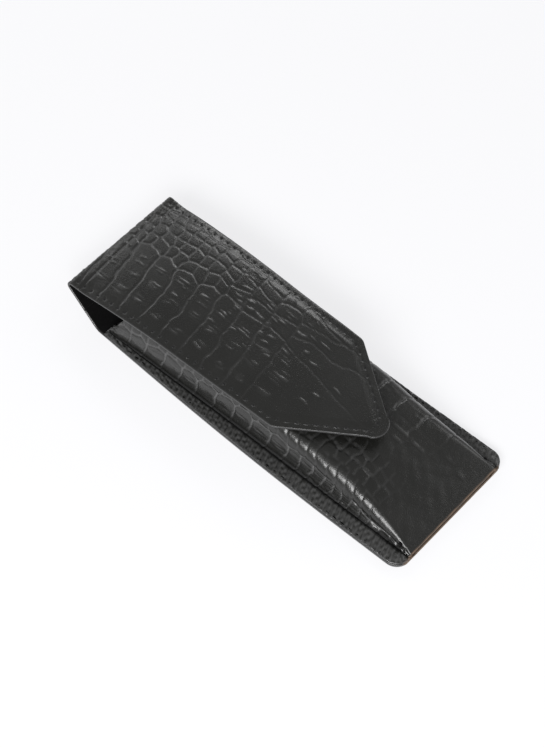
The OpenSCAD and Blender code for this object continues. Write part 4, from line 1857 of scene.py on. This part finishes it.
@dataclass(frozen=True)
class SoftBox:
    """A rectangular lamp that faces the case: angles in degrees, metres and watts."""

    name: str
    azimuth: float
    elevation: float
    distance: float
    size: tuple[float, float]
    power: float

    def build(self) -> None:
        """Adds the lamp."""
        lamp = bpy.data.lights.new(self.name, "AREA")
        lamp.shape = "RECTANGLE"
        lamp.size, lamp.size_y = self.size
        lamp.energy = self.power
        item = bpy.data.objects.new(self.name, lamp)
        back = direction(self.azimuth, self.elevation)
        item.location = back * self.distance
        look(item, back)


@dataclass
class Studio:
    """A pale floor, a dim room, soft boxes and the camera."""

    azimuth: float = -137.5
    elevation: float = 58.3
    distance: float = 0.7079
    target: tuple[float, float, float] = (0.0008, 0.0045, 0.0)
    lens: float = 91.78
    sensor_h: float = 36.0
    floor_size: float = 6.0
    floor_glow: float = 0.75
    room_light: float = 0.32
    boxes: tuple[SoftBox, ...] = (
        SoftBox("sheen_box", azimuth=82, elevation=25, distance=1.1, size=(1.0, 0.24), power=1.5),
        SoftBox("key_box", azimuth=34, elevation=30, distance=1.1, size=(0.5, 0.24), power=1.8),
        SoftBox("left_box", azimuth=205, elevation=38, distance=1.0, size=(0.8, 0.34), power=12.0),
        SoftBox("front_box", azimuth=-24, elevation=34, distance=1.2, size=(0.8, 0.5), power=2.0))

    def build(self) -> None:
        """Sets up floor, light and camera."""
        self.floor()
        self.sky()
        for box in self.boxes:
            box.build()
        self.camera()
        bpy.context.scene.view_settings.view_transform = "Standard"

    def floor(self) -> None:
        """A pale floor that glows evenly, as a lit table does."""
        bpy.ops.mesh.primitive_plane_add(size=self.floor_size)
        floor = bpy.context.object
        floor.name = "floor"
        material = bpy.data.materials.new("pale_floor")
        material.use_nodes = True
        bench = NodeBench(material.node_tree)
        speck = bench.noise(bench.add("ShaderNodeTexCoord").outputs["Object"], 3.0, 2.0)
        bench.feed(material.node_tree.nodes["Principled BSDF"],
                   base_color=bench.tint(speck, colour(0.2, 0.2, 0.205), colour(0.22, 0.22, 0.225)),
                   roughness=0.9, specular_ior_level=0.0, emission_color=colour(0.985, 0.985, 1.0),
                   emission_strength=self.floor_glow)
        floor.data.materials.append(material)

    def sky(self) -> None:
        """A dim, even room."""
        world = bpy.data.worlds.new("room")
        world.use_nodes = True
        NodeBench(world.node_tree).feed(
            world.node_tree.nodes["Background"], color=grey(1.0), strength=self.room_light)
        bpy.context.scene.world = world

    def camera(self) -> None:
        """Adds the camera."""
        data = bpy.data.cameras.new("camera")
        data.lens = self.lens
        data.sensor_fit = "VERTICAL"
        data.sensor_height = self.sensor_h
        camera = bpy.data.objects.new("camera", data)
        back = direction(self.azimuth, self.elevation)
        camera.location = Vector(self.target) + back * self.distance
        look(camera, back)
        bpy.context.scene.camera = camera


def main() -> None:
    """Builds the case, then its studio."""
    logging.basicConfig(level=logging.INFO, format="%(message)s")
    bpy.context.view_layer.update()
    form = CaseForm.from_frame()
    finishes = Finishes()
    cover = Cover(form, finishes)
    pocket = Pocket(form, finishes)
    pieces = [
        cover.build_back(), cover.build_flap(), cover.build_board(), *cover.build_lining(),
        *cover.build_thread(), pocket.build_front(), pocket.build_board(), pocket.build_lining(),
        pocket.build_tongue(), *pocket.build_seams(), *Stiffening(finishes).dress()]
    for piece in pieces:
        LOG.info("%s: %d faces", piece.name, len(piece.data.polygons))
    Studio().build()


if __name__ == "__main__":
    main()
